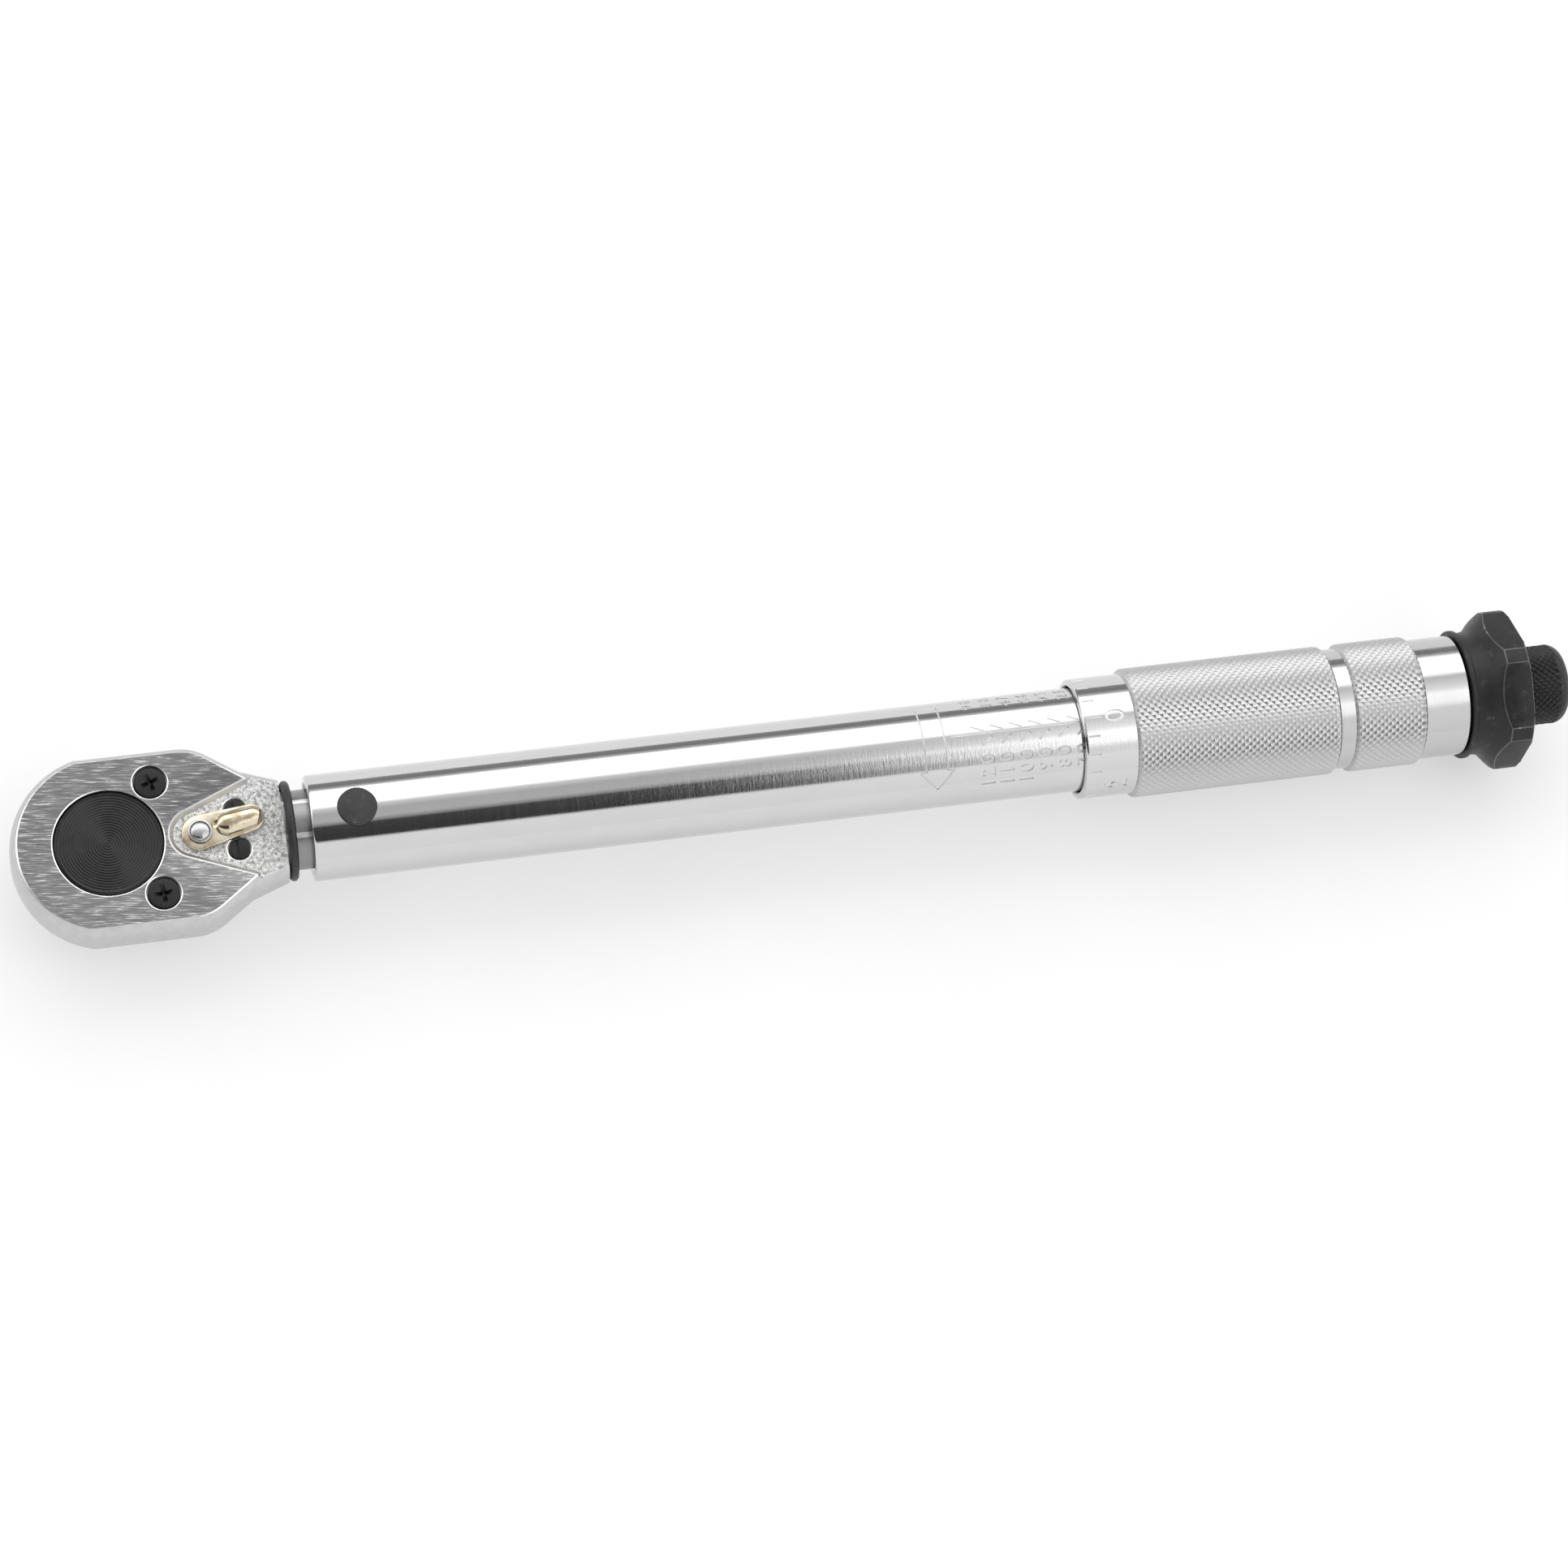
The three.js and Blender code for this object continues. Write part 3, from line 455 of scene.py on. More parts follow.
FACE = brushed_steel()
POLISHED = satin_steel("polished_side", 0.6, 0.34, 0.42)
# The sloped rims are real polished chamfers; their near-white colour, brighter than the polished steel, is a
# painted highlight along the edges.
RIM = satin_steel("bright_rim", 0.95, 0.3, 0.4)
ROUGH = cast_steel()
CHROME = chrome("chrome_tube", 0.63, 0.05, 0.11)
BAND = chrome("chrome_band", 0.54, 0.1, 0.18)
ETCHED = satin_steel("etched_mark", 0.78, 0.42, 0.5)
KNURLED = chrome("chrome_knurl", 0.56, 0.36, 0.44)
BLACK = black_oxide("black_oxide", 0.02, 0.34)
DISC = black_oxide("black_turned", 0.02, 0.24)
PIN_END = black_oxide("pin_end", 0.045, 0.4)
HEX = black_oxide("black_worn", 0.028, 0.42, 0.1)
EDGE = black_oxide("rubbed_edge", 0.12, 0.36, 0.75)
GOLD = pale_gold()
SILVERY = satin_steel("silvery", 0.5, 0.14, 0.22, depth=0.05)
NECK_STEEL = satin_steel("dark_neck", 0.3, 0.3, 0.4)
STEEL = satin_steel("turned_steel", 0.5, 0.3, 0.42, (3, 0.3, 0.3))
SPRING = satin_steel("spring_wire", 0.3, 0.35, 0.45, (1, 1, 1))
RUBBER = rubber()
BRASS = brass()


# ---- Head ----

def bezier(start, corner, end, steps=8):
    curve = []
    for t in shares(steps):
        a, b, c = (1 - t) ** 2, 2 * t * (1 - t), t ** 2
        curve.append(tuple(a * start[i] + b * corner[i] + c * end[i] for i in (0, 1)))
    return curve


def arc(radius, start, end, steps, centre=(0, 0)):
    angles = [start + (end - start) * share for share in shares(steps)]
    return [(centre[0] + radius * math.cos(a), centre[1] + radius * math.sin(a)) for a in angles]


def grown(outline, grow):
    """Moves each point of an anticlockwise outline out along its normal."""
    moved = []
    for i, here in enumerate(outline):
        before = Vector(here) - Vector(outline[i - 1])
        after = Vector(outline[(i + 1) % len(outline)]) - Vector(here)
        along = (before.normalized() + after.normalized()).normalized()
        stretch = 1 / max(0.5, along.dot(after.normalized()))
        moved.append((here[0] + along.y * grow * stretch, here[1] - along.x * grow * stretch))
    return moved


def mirrored_outline(upper):
    """Completes an outline, given its +y half from the handle end to the nose."""
    return upper + [(x, -y) for x, y in reversed(upper) if abs(y) > 1e-6]


def head_outline(grow):
    half, start = HEAD["half_width"], HEAD["shoulder_start"]
    nose = math.pi - math.asin(half / HEAD["nose"])
    shoulder = bezier(HEAD["shoulder"], (HEAD["shoulder_corner"], half), (start, half))
    flat = [(start - x, half) for x in (5, 10, 15)]
    upper = [HEAD["tip"]] + shoulder + flat + arc(HEAD["nose"], nose, math.pi, 30)
    return grown(mirrored_outline(upper), grow)


def neck_section(x):
    """The neck is round, with a flat top and bottom and soft corners between."""
    part = (x - NECK["start"]) / (NECK["end"] - NECK["start"])
    radius = NECK["start_radius"] + part * (NECK["end_radius"] - NECK["start_radius"])
    top, low = RECESS["floor"] - 0.01, -HEAD["face"]
    upper = math.asin(top / radius)
    lower = math.asin(low / radius)
    side = arc(radius, upper, lower, 14)
    corner = side[0][0]
    shoulder = bezier((corner - 0.9, top), (corner - 0.1, top), side[2], 5)
    half = shoulder + side[3:]
    return [(x, y, z) for y, z in half] + [(x, -y, z) for y, z in reversed(half)]


def recess_outline(grow):
    spread_angle = math.pi / 2 + RECESS["angle"]
    radius = RECESS["radius"] + grow
    edge_x = RECESS["x"] + radius * math.cos(spread_angle)
    edge_y = radius * math.sin(spread_angle)
    end_y = edge_y + (RECESS["end"] - edge_x) * math.tan(RECESS["angle"])
    curve = arc(radius, spread_angle, 2 * math.pi - spread_angle, 24, (RECESS["x"], 0))
    return [(RECESS["end"], -end_y), (RECESS["end"], end_y)] + curve


def cover_outline(grow):
    radius, half = COVER["nose"] + grow, COVER["half_width"] + grow
    nose = math.pi - math.asin(half / radius)
    upper = [(COVER["end"] + grow, COVER["end_half_width"] + grow), (COVER["waist"], half)]
    return mirrored_outline(upper + arc(radius, nose, math.pi, 30))


def pocket_outline(_):
    half = POCKET["half_width"]
    return mirrored_outline([(POCKET["end"], POCKET["end_half_width"]), (POCKET["taper"], half),
                             (POCKET["start"], half)])


def side_bulge(height):
    return HEAD["bulge"] * (1 - (height / HEAD["face"]) ** 4)


def head():
    edge, face = HEAD["edge"], HEAD["face"]
    heights = [(face - edge) * math.sin(math.pi / 2 * step / 10) for step in range(-10, 11)]
    levels = [(-edge, -face)] + [(side_bulge(h), h) for h in heights] + [(-edge, face)]
    body = stacked("head", head_outline, levels)
    neck = [neck_section(NECK["start"] + (NECK["end"] - NECK["start"]) * share) for share in shares(12)]
    tail = bar_x("tail", TAIL["radius"], TAIL["start"], TAIL["round_end"], sides=96)
    beam = block("beam", (TAIL["round_end"] - 5, TAIL["end"]), (-TAIL["half_width"], TAIL["half_width"]),
                 (-TAIL["half_height"], TAIL["half_height"]))
    carve(body, [lofted("neck", neck), tail, beam], "UNION")
    floor, slope, lip, past = RECESS["floor"], face - RECESS["floor"], 0.22, 3
    recess = [(0, floor), (slope - lip / 2, face - lip / 2), (slope + lip, face),
              (slope + lip + 2 * past, face + past)]
    tools = [
        stacked("recess", recess_outline, recess),
        bar("disc_bore", GEAR["bore"], CAVITY["top"] - PAST, face, rim=0.24, sides=ROUND),
        bar("cavity", CAVITY["radius"], COVER["bottom"], CAVITY["top"] - PAST),
        stacked("pocket", pocket_outline, [(0, COVER["top"]), (0, POCKET["top"])]),
        stacked("cover_seat", cover_outline, [(0.25, COVER["bottom"] - PAST), (0.25, COVER["top"] + 0.2)]),
        bar("shaft_bore", SHAFT["bore"], 0, floor, (LEVER["x"], 0)),
        bar_x("detent_bore", DETENT["bore"], POCKET["end"] - PAST, DETENT["end"]),
        bar("pin_bore", PIN["radius"] + GAP, -TAIL["radius"] - PAST, TAIL["radius"], (PIN["x"], 0)),
    ]
    for side in (1, -1):
        for (x, y), size, low, high, rim in ((SCREW_AT, SCREW, COVER["bottom"], face, 0.22),
                                             (PIVOT_AT, PIVOT, 0, floor, 0.2)):
            centre, seat = (x, side * y), size["bottom"]
            tools.append(bar("shank", size["shank"] + GAP, low, seat, centre))
            tools.append(bar("counterbore", size["radius"] + GAP, seat - 0.2, high, centre, rim=rim))
    carve(body, tools)

    def choose(side):
        """The flat faces, the sloped rims, whose near-white steel is partly a painted highlight, the neck
        behind the O-ring, the sunk floor, and the rest.
        """
        height, up = height_of(side), side.normal.z
        if abs(up) > 0.99 and abs(abs(height) - face) < 0.05:
            return 0
        if 0.85 < up < 0.93 and height > floor - 0.2:
            return 3
        if side.center.x > O_RING["x"] * MM:
            return 4
        return 2 if up > 0.95 and abs(height - floor) < 0.06 else 1

    finish(body, "head_body", "head", [FACE, POLISHED, ROUGH, RIM, NECK_STEEL], choose, 26)


def cover():
    low, high, chamfer = COVER["bottom"], COVER["top"], 0.4
    plate = stacked("cover", cover_outline, [(-chamfer, low), (0, low + chamfer), (0, high)])
    tools = [bar("hole", GEAR["collar"] + 0.5, low - PAST, high, sides=ROUND),
             bar("hole", SHAFT["journal"] + GAP, SHAFT["end"] - GAP, high, (LEVER["x"], 0))]
    for side in (1, -1):
        for (x, y), size in ((SCREW_AT, SCREW), (PIVOT_AT, PIVOT)):
            tools.append(bar("hole", size["shank"] + GAP, low - PAST, high, (x, side * y)))
    carve(plate, tools)
    finish(plate, "cover_plate", "head", [POLISHED])


def cross_outline(scale):
    """A Phillips recess: one arm, drawn four times round."""
    long, short = 1.9 * scale, 0.42 * scale + 0.05
    arm = [(long, -short), (long, short), (short, short)]
    return [(x * c - y * s, x * s + y * c) for c, s in ((1, 0), (0, 1), (-1, 0), (0, -1)) for x, y in arm]


def phillips_screw(number, side, angle):
    top, radius, centre = SCREW["top"], SCREW["radius"], (SCREW_AT[0], side * SCREW_AT[1])
    end, shank, chamfer = SCREW["end"], SCREW["shank"], 0.3
    profile = [(end, 0), (end, shank - chamfer), (end + chamfer, shank), (SCREW["bottom"], shank)]
    profile += rounded([(SCREW["bottom"], radius), (top - 0.02, radius, 0.45), (top, 0)])[:-1] + [(top, 0)]
    body = turned(f"cover_screw_{number}_head", profile, "z", centre)
    tool = stacked("cross", cross_outline, [(0.25, top - 1.3), (1, top - 0.1), (1.1, top + 0.5)])
    carve(body, [rotated(shifted(tool, *centre, 0), angle, centre)])
    finish(body, f"cover_screw_{number}", "head", [BLACK])


def slotted_pivot(number, side):
    top, radius, half = PIVOT["top"], PIVOT["radius"], PIVOT["slot"] / 2
    centre = (PIVOT_AT[0], side * PIVOT_AT[1])
    profile = [(PIVOT["end"], 0), (PIVOT["end"], PIVOT["shank"]), (PIVOT["bottom"], PIVOT["shank"])]
    profile += rounded([(PIVOT["bottom"], radius), (top, radius, 0.2), (top, 0)])
    body = turned(f"pivot_{number}_head", profile, "z", centre)
    middle, reach = centre[0] - 0.4, radius + PAST
    carve(body, [block("slot", (middle - half, middle + half), (centre[1] - reach, centre[1] + reach),
                       (top - PIVOT["slot"], top + PAST))])
    finish(body, f"pawl_pivot_{number}", "head", [BLACK])


def gear_outline(_):
    pitch = 2 * math.pi / GEAR["teeth"]
    outline = []
    root, tip = GEAR["root"], GEAR["tip"]
    for tooth in range(GEAR["teeth"]):
        for part, radius in ((-0.3, root), (-0.1, tip), (0.1, tip), (0.3, root)):
            angle = (tooth + part) * pitch
            outline.append((radius * math.cos(angle), radius * math.sin(angle)))
    return outline


def square_outline(grow):
    half = DRIVE["half"] + grow
    corners = [(half, -half), (half, half), (-half, half), (-half, -half)]
    return rounded([(x, y, DRIVE["corner"]) for x, y in corners])


def drive():
    """The disc with its turning rings, the gear under it, the collar in the cover, and the square."""
    top, radius = GEAR["disc_top"], GEAR["disc"]
    rings, depth = 18, 0.09
    turning = []
    for ring in range(rings, 0, -1):
        outer = (radius - 0.8) * ring / rings
        turning += [(top, outer), (top - depth, outer - 0.2), (top, outer - 0.4)]
    profile = [(0, 0), (0, radius), (top - 0.3, radius), (top, radius - 0.4)] + turning + [(top, 0)]
    body = turned("drive_disc", profile, "z", sides=ROUND)
    gear = stacked("gear", gear_outline, [(0, GEAR["bottom"]), (0, GEAR["top"])])
    low, wide, inside = GEAR["collar_bottom"], GEAR["collar"], 1
    rim = [(low, 0), (low, wide - 0.3), (low + 0.3, wide), (inside, wide), (inside, 0)]
    collar = turned("collar", rim, "z", sides=ROUND)
    end, chamfer = DRIVE["end"], DRIVE["chamfer"]
    square = stacked("square", square_outline, [(-chamfer, end), (0, end + chamfer), (0, inside / 2)])
    carve(body, [gear, collar, square], "UNION")
    carve(body, [bar_x("ball_bore", BALL["bore"], BALL["x"] - 4, BALL["bore_end"], BALL["z"])])
    finish(body, "ratchet_gear", "drive", [DISC, SILVERY],
           lambda face: int(height_of(face) < COVER["bottom"]))


def socket_ball():
    profile = arc(BALL["radius"], math.pi, 0, 24, (BALL["x"], 0))
    ball = shifted(turned("ball", profile, sides=48), 0, 0, BALL["z"])
    finish(ball, "socket_ball", "socket_ball", [SILVERY])


# ---- Reversing lever ----

def tapered_slot(start_radius, start, end_radius, end):
    """The outline round two circles on the x axis and the lines that touch both."""
    tilt = math.acos((start_radius - end_radius) / (end - start))

    def outline(grow):
        far = arc(end_radius + grow, -tilt, tilt, 16, (end, 0))
        near = arc(start_radius + grow, tilt, 2 * math.pi - tilt, 24, (start, 0))
        return [(LEVER["x"] + x, y) for x, y in far + near]

    return outline


def domed(radius, low, high, steps=6):
    """(grow, height) levels whose top edge is rounded."""
    levels = [(0, low)]
    for share in shares(steps):
        angle = math.pi / 2 * share
        levels.append((radius * (math.cos(angle) - 1), high - radius + radius * math.sin(angle)))
    return levels


def lever():
    x, bottom, top = LEVER["x"], LEVER["bottom"], LEVER["top"]
    flat = tapered_slot(LEVER["hub"], 0, LEVER["end"], LEVER["length"])
    body = stacked("lever", flat, domed(0.3, bottom, top))
    thumb = tapered_slot(LEVER["bar"], LEVER["bar_start"], LEVER["bar_end_radius"], LEVER["bar_end"])
    carve(body, [stacked("thumb_bar", thumb, domed(2.3, bottom + 0.2, LEVER["bar_top"], 16))], "UNION")
    along, aside = LEVER["dimple"]
    ball = [(-1, 0), (-0.7, 0.7), (0, 1), (0.7, 0.7), (1, 0)]
    dimple = turned("dimple", ball, "z", (x + along, aside))
    carve(body, [bar("hole", SHAFT["bore"], bottom - PAST, top, (x, 0)), shifted(dimple, 0, 0, top + 0.6)])
    rotated(body, LEVER["angle"], (x, 0))
    finish(body, "reverse_lever", "lever", [GOLD])


def lever_shaft():
    top, head_radius, seat = SHAFT["head_top"], SHAFT["head"], LEVER["top"] + GAP
    journal_top = COVER["top"] + GAP
    profile = [(SHAFT["end"], 0), (SHAFT["end"], SHAFT["journal"]), (journal_top, SHAFT["journal"]),
               (journal_top, SHAFT["radius"]), (seat, SHAFT["radius"])]
    cap = [(seat, head_radius), (seat + 0.4, head_radius, 0.15), (seat + 0.45, head_radius - 0.4, 0.1)]
    dome = [(top - 0.75 + 0.75 * math.sin(a), (head_radius - 0.5) * math.cos(a))
            for a in (math.pi / 2 * share for share in shares(8))]
    body = turned("shaft", profile + rounded(cap + [(top, 0)])[:-1] + dome, "z", (LEVER["x"], 0))
    x, near = LEVER["x"], SHAFT["radius"] - 0.1
    length, half = PADDLE["length"], PADDLE["half_width"]
    paddle = lofted("paddle", [[(x, -near, h), (x, near, h), (x - length, half, h), (x - length, -half, h)]
                               for h in (PADDLE["bottom"], PADDLE["top"])])
    carve(body, [paddle], "UNION")
    rotated(body, LEVER["angle"], (LEVER["x"], 0))
    finish(body, "lever_shaft", "lever", [SILVERY])


# ---- Tube and its scale ----

class Marks:
    """Gathers the cutters of engraved marks that don't touch each other into one mesh."""

    def __init__(self, radius, depth=0.22):
        self.radius, self.depth = radius, depth
        self.points, self.faces = [], []

    def add(self, points, faces, x, angle):
        """Wraps a flat (right, up, out) mark round the tube, its up towards the head."""
        first = len(self.points)
        for right, up, out in points:
            turn, reach = angle - right / self.radius, self.radius + out
            self.points.append((x - up, -reach * math.sin(turn), reach * math.cos(turn)))
        self.faces += [[first + corner for corner in face] for face in faces]

    def line(self, start, end, width):
        """A groove with sloped sides between two (x, mm round the tube towards -y) points."""
        start, end = Vector(start), Vector(end)
        steps = max(3, round((end - start).length))
        side = (end - start).normalized().orthogonal() * width / 2
        top, narrow = 0.2, 0.3  # height of the cutter over the surface, and share of the width at the floor
        wide = 1 + (1 - narrow) * top / self.depth
        points, faces = [], []
        for step in range(steps + 1):
            here = start.lerp(end, step / steps)
            for across, out in ((-narrow, -self.depth), (narrow, -self.depth), (wide, top), (-wide, top)):
                edge = here + side * across
                points.append((-edge.y, -edge.x, out))
        for step in range(steps):
            for i in range(4):
                j = (i + 1) % 4
                faces.append((step * 4 + i, step * 4 + j, step * 4 + 4 + j, step * 4 + 4 + i))
        faces += [(0, 1, 2, 3), tuple(range(steps * 4, steps * 4 + 4))]
        self.add(points, faces, 0, 0)

    def digit(self, text, size, x, angle):
        """A digit in a plain font, slightly thickened. angle is in degrees."""
        top = 0.5
        curve = bpy.data.curves.new("digit", "FONT")
        curve.body = text
        curve.size = size
        curve.offset = 0.08
        curve.align_x = curve.align_y = "CENTER"
        curve.extrude = top
        curve.resolution_u = 3
        obj = shown("digit", curve)
        mesh = bpy.data.meshes.new_from_object(obj)
        work = bmesh.new()
        work.from_mesh(mesh)
        bmesh.ops.remove_doubles(work, verts=work.verts, dist=1e-4)
        points = [(v.co.x, v.co.y, -self.depth if v.co.z < 0 else top) for v in work.verts]
        faces = [[v.index for v in face.verts] for face in work.faces]
        work.free()
        bpy.data.objects.remove(obj)
        self.add(points, faces, x, math.radians(angle))

    def tool(self):
        return solid("marks", self.points, self.faces)


def scale_x(value):
    return SCALE["zero"] - (value - SCALE["zero_value"]) / SCALE["step"] * SCALE["pitch"]


def tube_marks():
    """Two rows of numbers along an index line, with a short and a long leader for each value."""
    radius = TUBE["radius"]
    marks, index = Marks(radius), Marks(radius)
    for value in range(SCALE["first"], SCALE["last"] + 1, SCALE["step"]):
        x = scale_x(value)
        marks.line((x - 0.3, -0.5), (x - 3, -1.7), 0.4)
        marks.line((x + 1.4, 0.9), (x - 1.1, 2.8), 0.55)
        for place, digit in enumerate(reversed(str(value))):
            marks.digit(digit, NUMBERS["size"], x, NUMBERS["first"] + NUMBERS["apart"] * place)
        for place, digit in enumerate(str(round(value * SMALL_NUMBERS["unit"]))):
            marks.digit(digit, SMALL_NUMBERS["size"], x - SMALL_NUMBERS["lead"],
                        SMALL_NUMBERS["first"] + SMALL_NUMBERS["apart"] * place)
    index.line((scale_x(SCALE["last"]) - 8, 0), (SCALE["zero"] + 20, 0), 0.5)
    return [marks.tool(), index.tool()] + arrow_tools(radius)


def arrow_tools(radius):
    """An arrow outline that wraps the tube, and points round it towards -y."""
    x, half, head_half = SCALE["arrow"], 2.35, 3.75
    start, neck, tip = -9, 7.4, 11.8
    corners = [(x - half, start), (x - half, neck), (x - head_half, neck), (x, tip), (x + head_half, neck),
               (x + half, neck), (x + half, start)]
    tools = []
    for here, there in zip(corners, corners[1:] + corners[:1]):
        stroke = Marks(radius)
        stroke.line(here, there, 0.42)
        tools.append(stroke.tool())
    return tools


def tube():
    front, rear, bore, radius = TUBE["front"], TUBE["rear"], TUBE["bore"], TUBE["radius"]
    profile = rounded([(front, bore, 0.3), (front, radius, 0.7), (rear, radius, 0.3), (rear, bore)])
    body = turned("chrome_tube", profile, sides=ROUND, ring=True)
    tools = [bar("pin_hole", PIN["radius"] + 0.08, -radius - PAST, radius, (PIN["x"], 0), sides=96),
             bar_across("nut_pin_hole", NUT_PIN["radius"] + GAP, radius, NUT_PIN["x"])]
    carve(body, tools + tube_marks())

    def engraved(face):
        sunk = radius - 0.6 < distance_from_axis(face.center) < radius - 0.02
        return int(sunk and front + 1 < face.center.x / MM < rear - 1)

    finish(body, "tube", "tube", [CHROME, ETCHED], engraved)
    keep_round(body, [radius])


def bar_across(name, radius, reach, x):
    """A bar through the tube from side to side."""
    tool = bar(name, radius, -reach - PAST, reach)
    middle = Vector((0, 0, AXIS * MM))
    turn = Matrix.Translation(middle) @ Matrix.Rotation(math.pi / 2, 4, "X") @ Matrix.Translation(-middle)
    tool.data.transform(Matrix.Translation((x * MM, 0, 0)) @ turn)
    return tool


def pivot_pin():
    reach, radius = PIN["reach"], PIN["radius"]
    profile = rounded([(-reach, 0), (-reach, radius, 0.3), (reach, radius, 0.3), (reach, 0)])
    body = turned("pin", profile, "z", (PIN["x"], 0), 96)
    finish(body, "pivot_pin", "tube", [PIN_END])


def o_ring():
    profile = arc(O_RING["wire"], 0, 2 * math.pi, 20, (O_RING["x"], O_RING["centre"]))[:-1]
    ring = turned("o_ring", profile, sides=96, ring=True)
    finish(ring, "neck_o_ring", "head", [RUBBER], sharp=60)


# ---- Grip, end nut and knob ----

def knurl_rows(start, end, pitch):
    """Stations along a knurl, four to each diamond."""
    return [start + (end - start) * share for share in shares(round((end - start) / pitch * 4))]


def diamond(row, side, depth):
    """Height of a knurled surface, below zero in its two sets of crossing grooves."""
    first, second = (row + side) / 4, (row - side) / 4
    away = min(abs(first - round(first)), abs(second - round(second)))
    return depth * (min(2 * away, 0.8) / 0.8 - 1)


def knurling(rows, depth):
    """The relief of a turned piece. rows gives the row of the knurl for each knurled row of the profile."""
    return lambda row, side: diamond(rows[row], side, depth) if row in rows else 0


def grip():
    pitch, depth, shoulder = 1.7, 0.27, 1
    diamonds = 53
    front, bore, sleeve, knurl, band = (GRIP[key] for key in ("front", "bore", "sleeve", "knurl", "band"))
    profile = rounded([(front + 0.4, bore), (front, bore + 0.3), (front, sleeve, 0.6),
                       (GRIP["knurl_start"], sleeve)])
    knurled = {}

    def add_knurl(start, end):
        for count, x in enumerate(knurl_rows(start, end, pitch)):
            knurled[len(profile)] = count
            inside = max(0, shoulder - min(x - start, end - x))
            profile.append((x, knurl - shoulder + math.sqrt(shoulder ** 2 - inside ** 2)))

    profile.append((GRIP["knurl_start"] + 0.02, sleeve - 0.15))
    add_knurl(GRIP["knurl_start"] + 0.1, GRIP["groove_start"] - 0.1)
    profile += [(GRIP["groove_start"], band), (GRIP["groove_end"], band)]
    add_knurl(GRIP["groove_end"] + 0.1, GRIP["knurl_end"] - 0.1)
    end, wall, wall_bore = GRIP["end"], GRIP["wall"], GRIP["wall_bore"]
    profile += rounded([(GRIP["knurl_end"], band), (end, band, 0.4), (end, wall_bore), (wall, wall_bore),
                        (wall, bore)])
    body = turned("setting_grip", profile, sides=4 * diamonds, ring=True, relief=knurling(knurled, depth))
    carve(body, [sleeve_marks()])
    finish(body, "grip", "grip", [CHROME, KNURLED, ETCHED, SPRING, BAND], grip_material)
    keep_round(body, [sleeve, band])


def grip_material(face):
    """Behind the sleeve: knurl or plain band. On the sleeve: the bore in darker steel as painted shade in
    the gap round the tube, engraved marks or plain chrome.
    """
    x, away = face.center.x / MM, distance_from_axis(face.center)
    if x > GRIP["knurl_start"] + 0.05:
        return 1 if len(face.vertices) == 3 and away > GRIP["band"] - 0.2 else 4
    # The bore and its front chamfer take the darker spring steel: a painted shade in the gap between the
    # sleeve and the tube.
    if away < GRIP["bore"] + 0.35:
        return 3
    return 2 if away < GRIP["sleeve"] - 0.02 and x > GRIP["front"] + 0.8 else 0


def sleeve_marks():
    """Twenty ticks round the sleeve, with the even digits at every fourth."""
    radius, front, ticks = GRIP["sleeve"], GRIP["front"], TICKS["count"]
    marks = Marks(radius)
    for tick in range(ticks):
        around = 2 * math.pi * radius * tick / ticks
        longer = tick % 4 == 0
        end = TICKS["long_end"] if longer else TICKS["end"]
        marks.line((front + TICKS["start"], around), (front + end, around), TICKS["width"])
        if longer:
            marks.digit(str(tick // 2), TICKS["digit"], front + TICKS["digit_at"], 360 * tick / ticks)
    return marks.tool()


def end_nut():
    """A flange and a waisted neck that flares into the hexagon: a turned blank cut by a six-sided prism."""
    front, flange, flange_end, neck = NUT["front"], NUT["flange"], NUT["flange_end"], NUT["neck"]
    rear, corner, chamfer = NUT["hex_rear"], NUT["corner"], 0.5
    profile = rounded([(front, NUT["bore"]), (front, flange, 0.25), (flange_end, flange, 0.25),
                       (flange_end + 0.3, neck - 0.4, 0.2), (NUT["waist"], neck, 3.5),
                       (NUT["hex_front"], corner), (rear - chamfer, corner), (rear, corner - 1),
                       (rear, NUT["bore"])], 8)
    body = turned("hex_nut", profile, sides=ROUND, ring=True)
    hex_radius = NUT["across_flats"] / 2 / math.cos(math.pi / 6)
    corners = [NUT["first_corner"] + math.pi / 3 * i for i in range(6)]
    prism = lofted("prism", [[(x, hex_radius * math.cos(a), hex_radius * math.sin(a)) for a in corners]
                             for x in (front - PAST, rear + PAST)])
    carve(body, [prism], "INTERSECT")
    hexagon = flange + 0.6
    rub_edges(body, 0.16, lambda edge: min(distance_from_axis(end.co) for end in edge.verts) > hexagon)
    finish(body, "end_nut", "grip", [HEX, EDGE], lambda face: face.material_index, 28)


def knob():
    front, end, radius, curve = KNOB["front"], KNOB["end"], KNOB["radius"], KNOB["round"]
    pitch, depth = 1.6, 0.34
    diamonds, steps = 35, 12
    profile = [(front, 0), (front, radius - 0.6)]
    knurled = {}
    for count, x in enumerate(knurl_rows(front + 0.5, end - curve, pitch)):
        knurled[len(profile)] = count
        profile.append((x, radius))
    for step in range(1, steps):
        angle = math.pi / 2 * step / steps
        profile.append((end - curve + curve * math.sin(angle), radius - curve + curve * math.cos(angle)))
    profile += [(end, radius - curve), (end, 0)]
    body = turned("knurled_knob", profile, sides=4 * diamonds, relief=knurling(knurled, depth))
    carve(body, [bar_x("rod_hole", KNOB["hole"], front - PAST, KNOB["hole_end"])])
    finish(body, "lock_knob", "knob", [HEX])
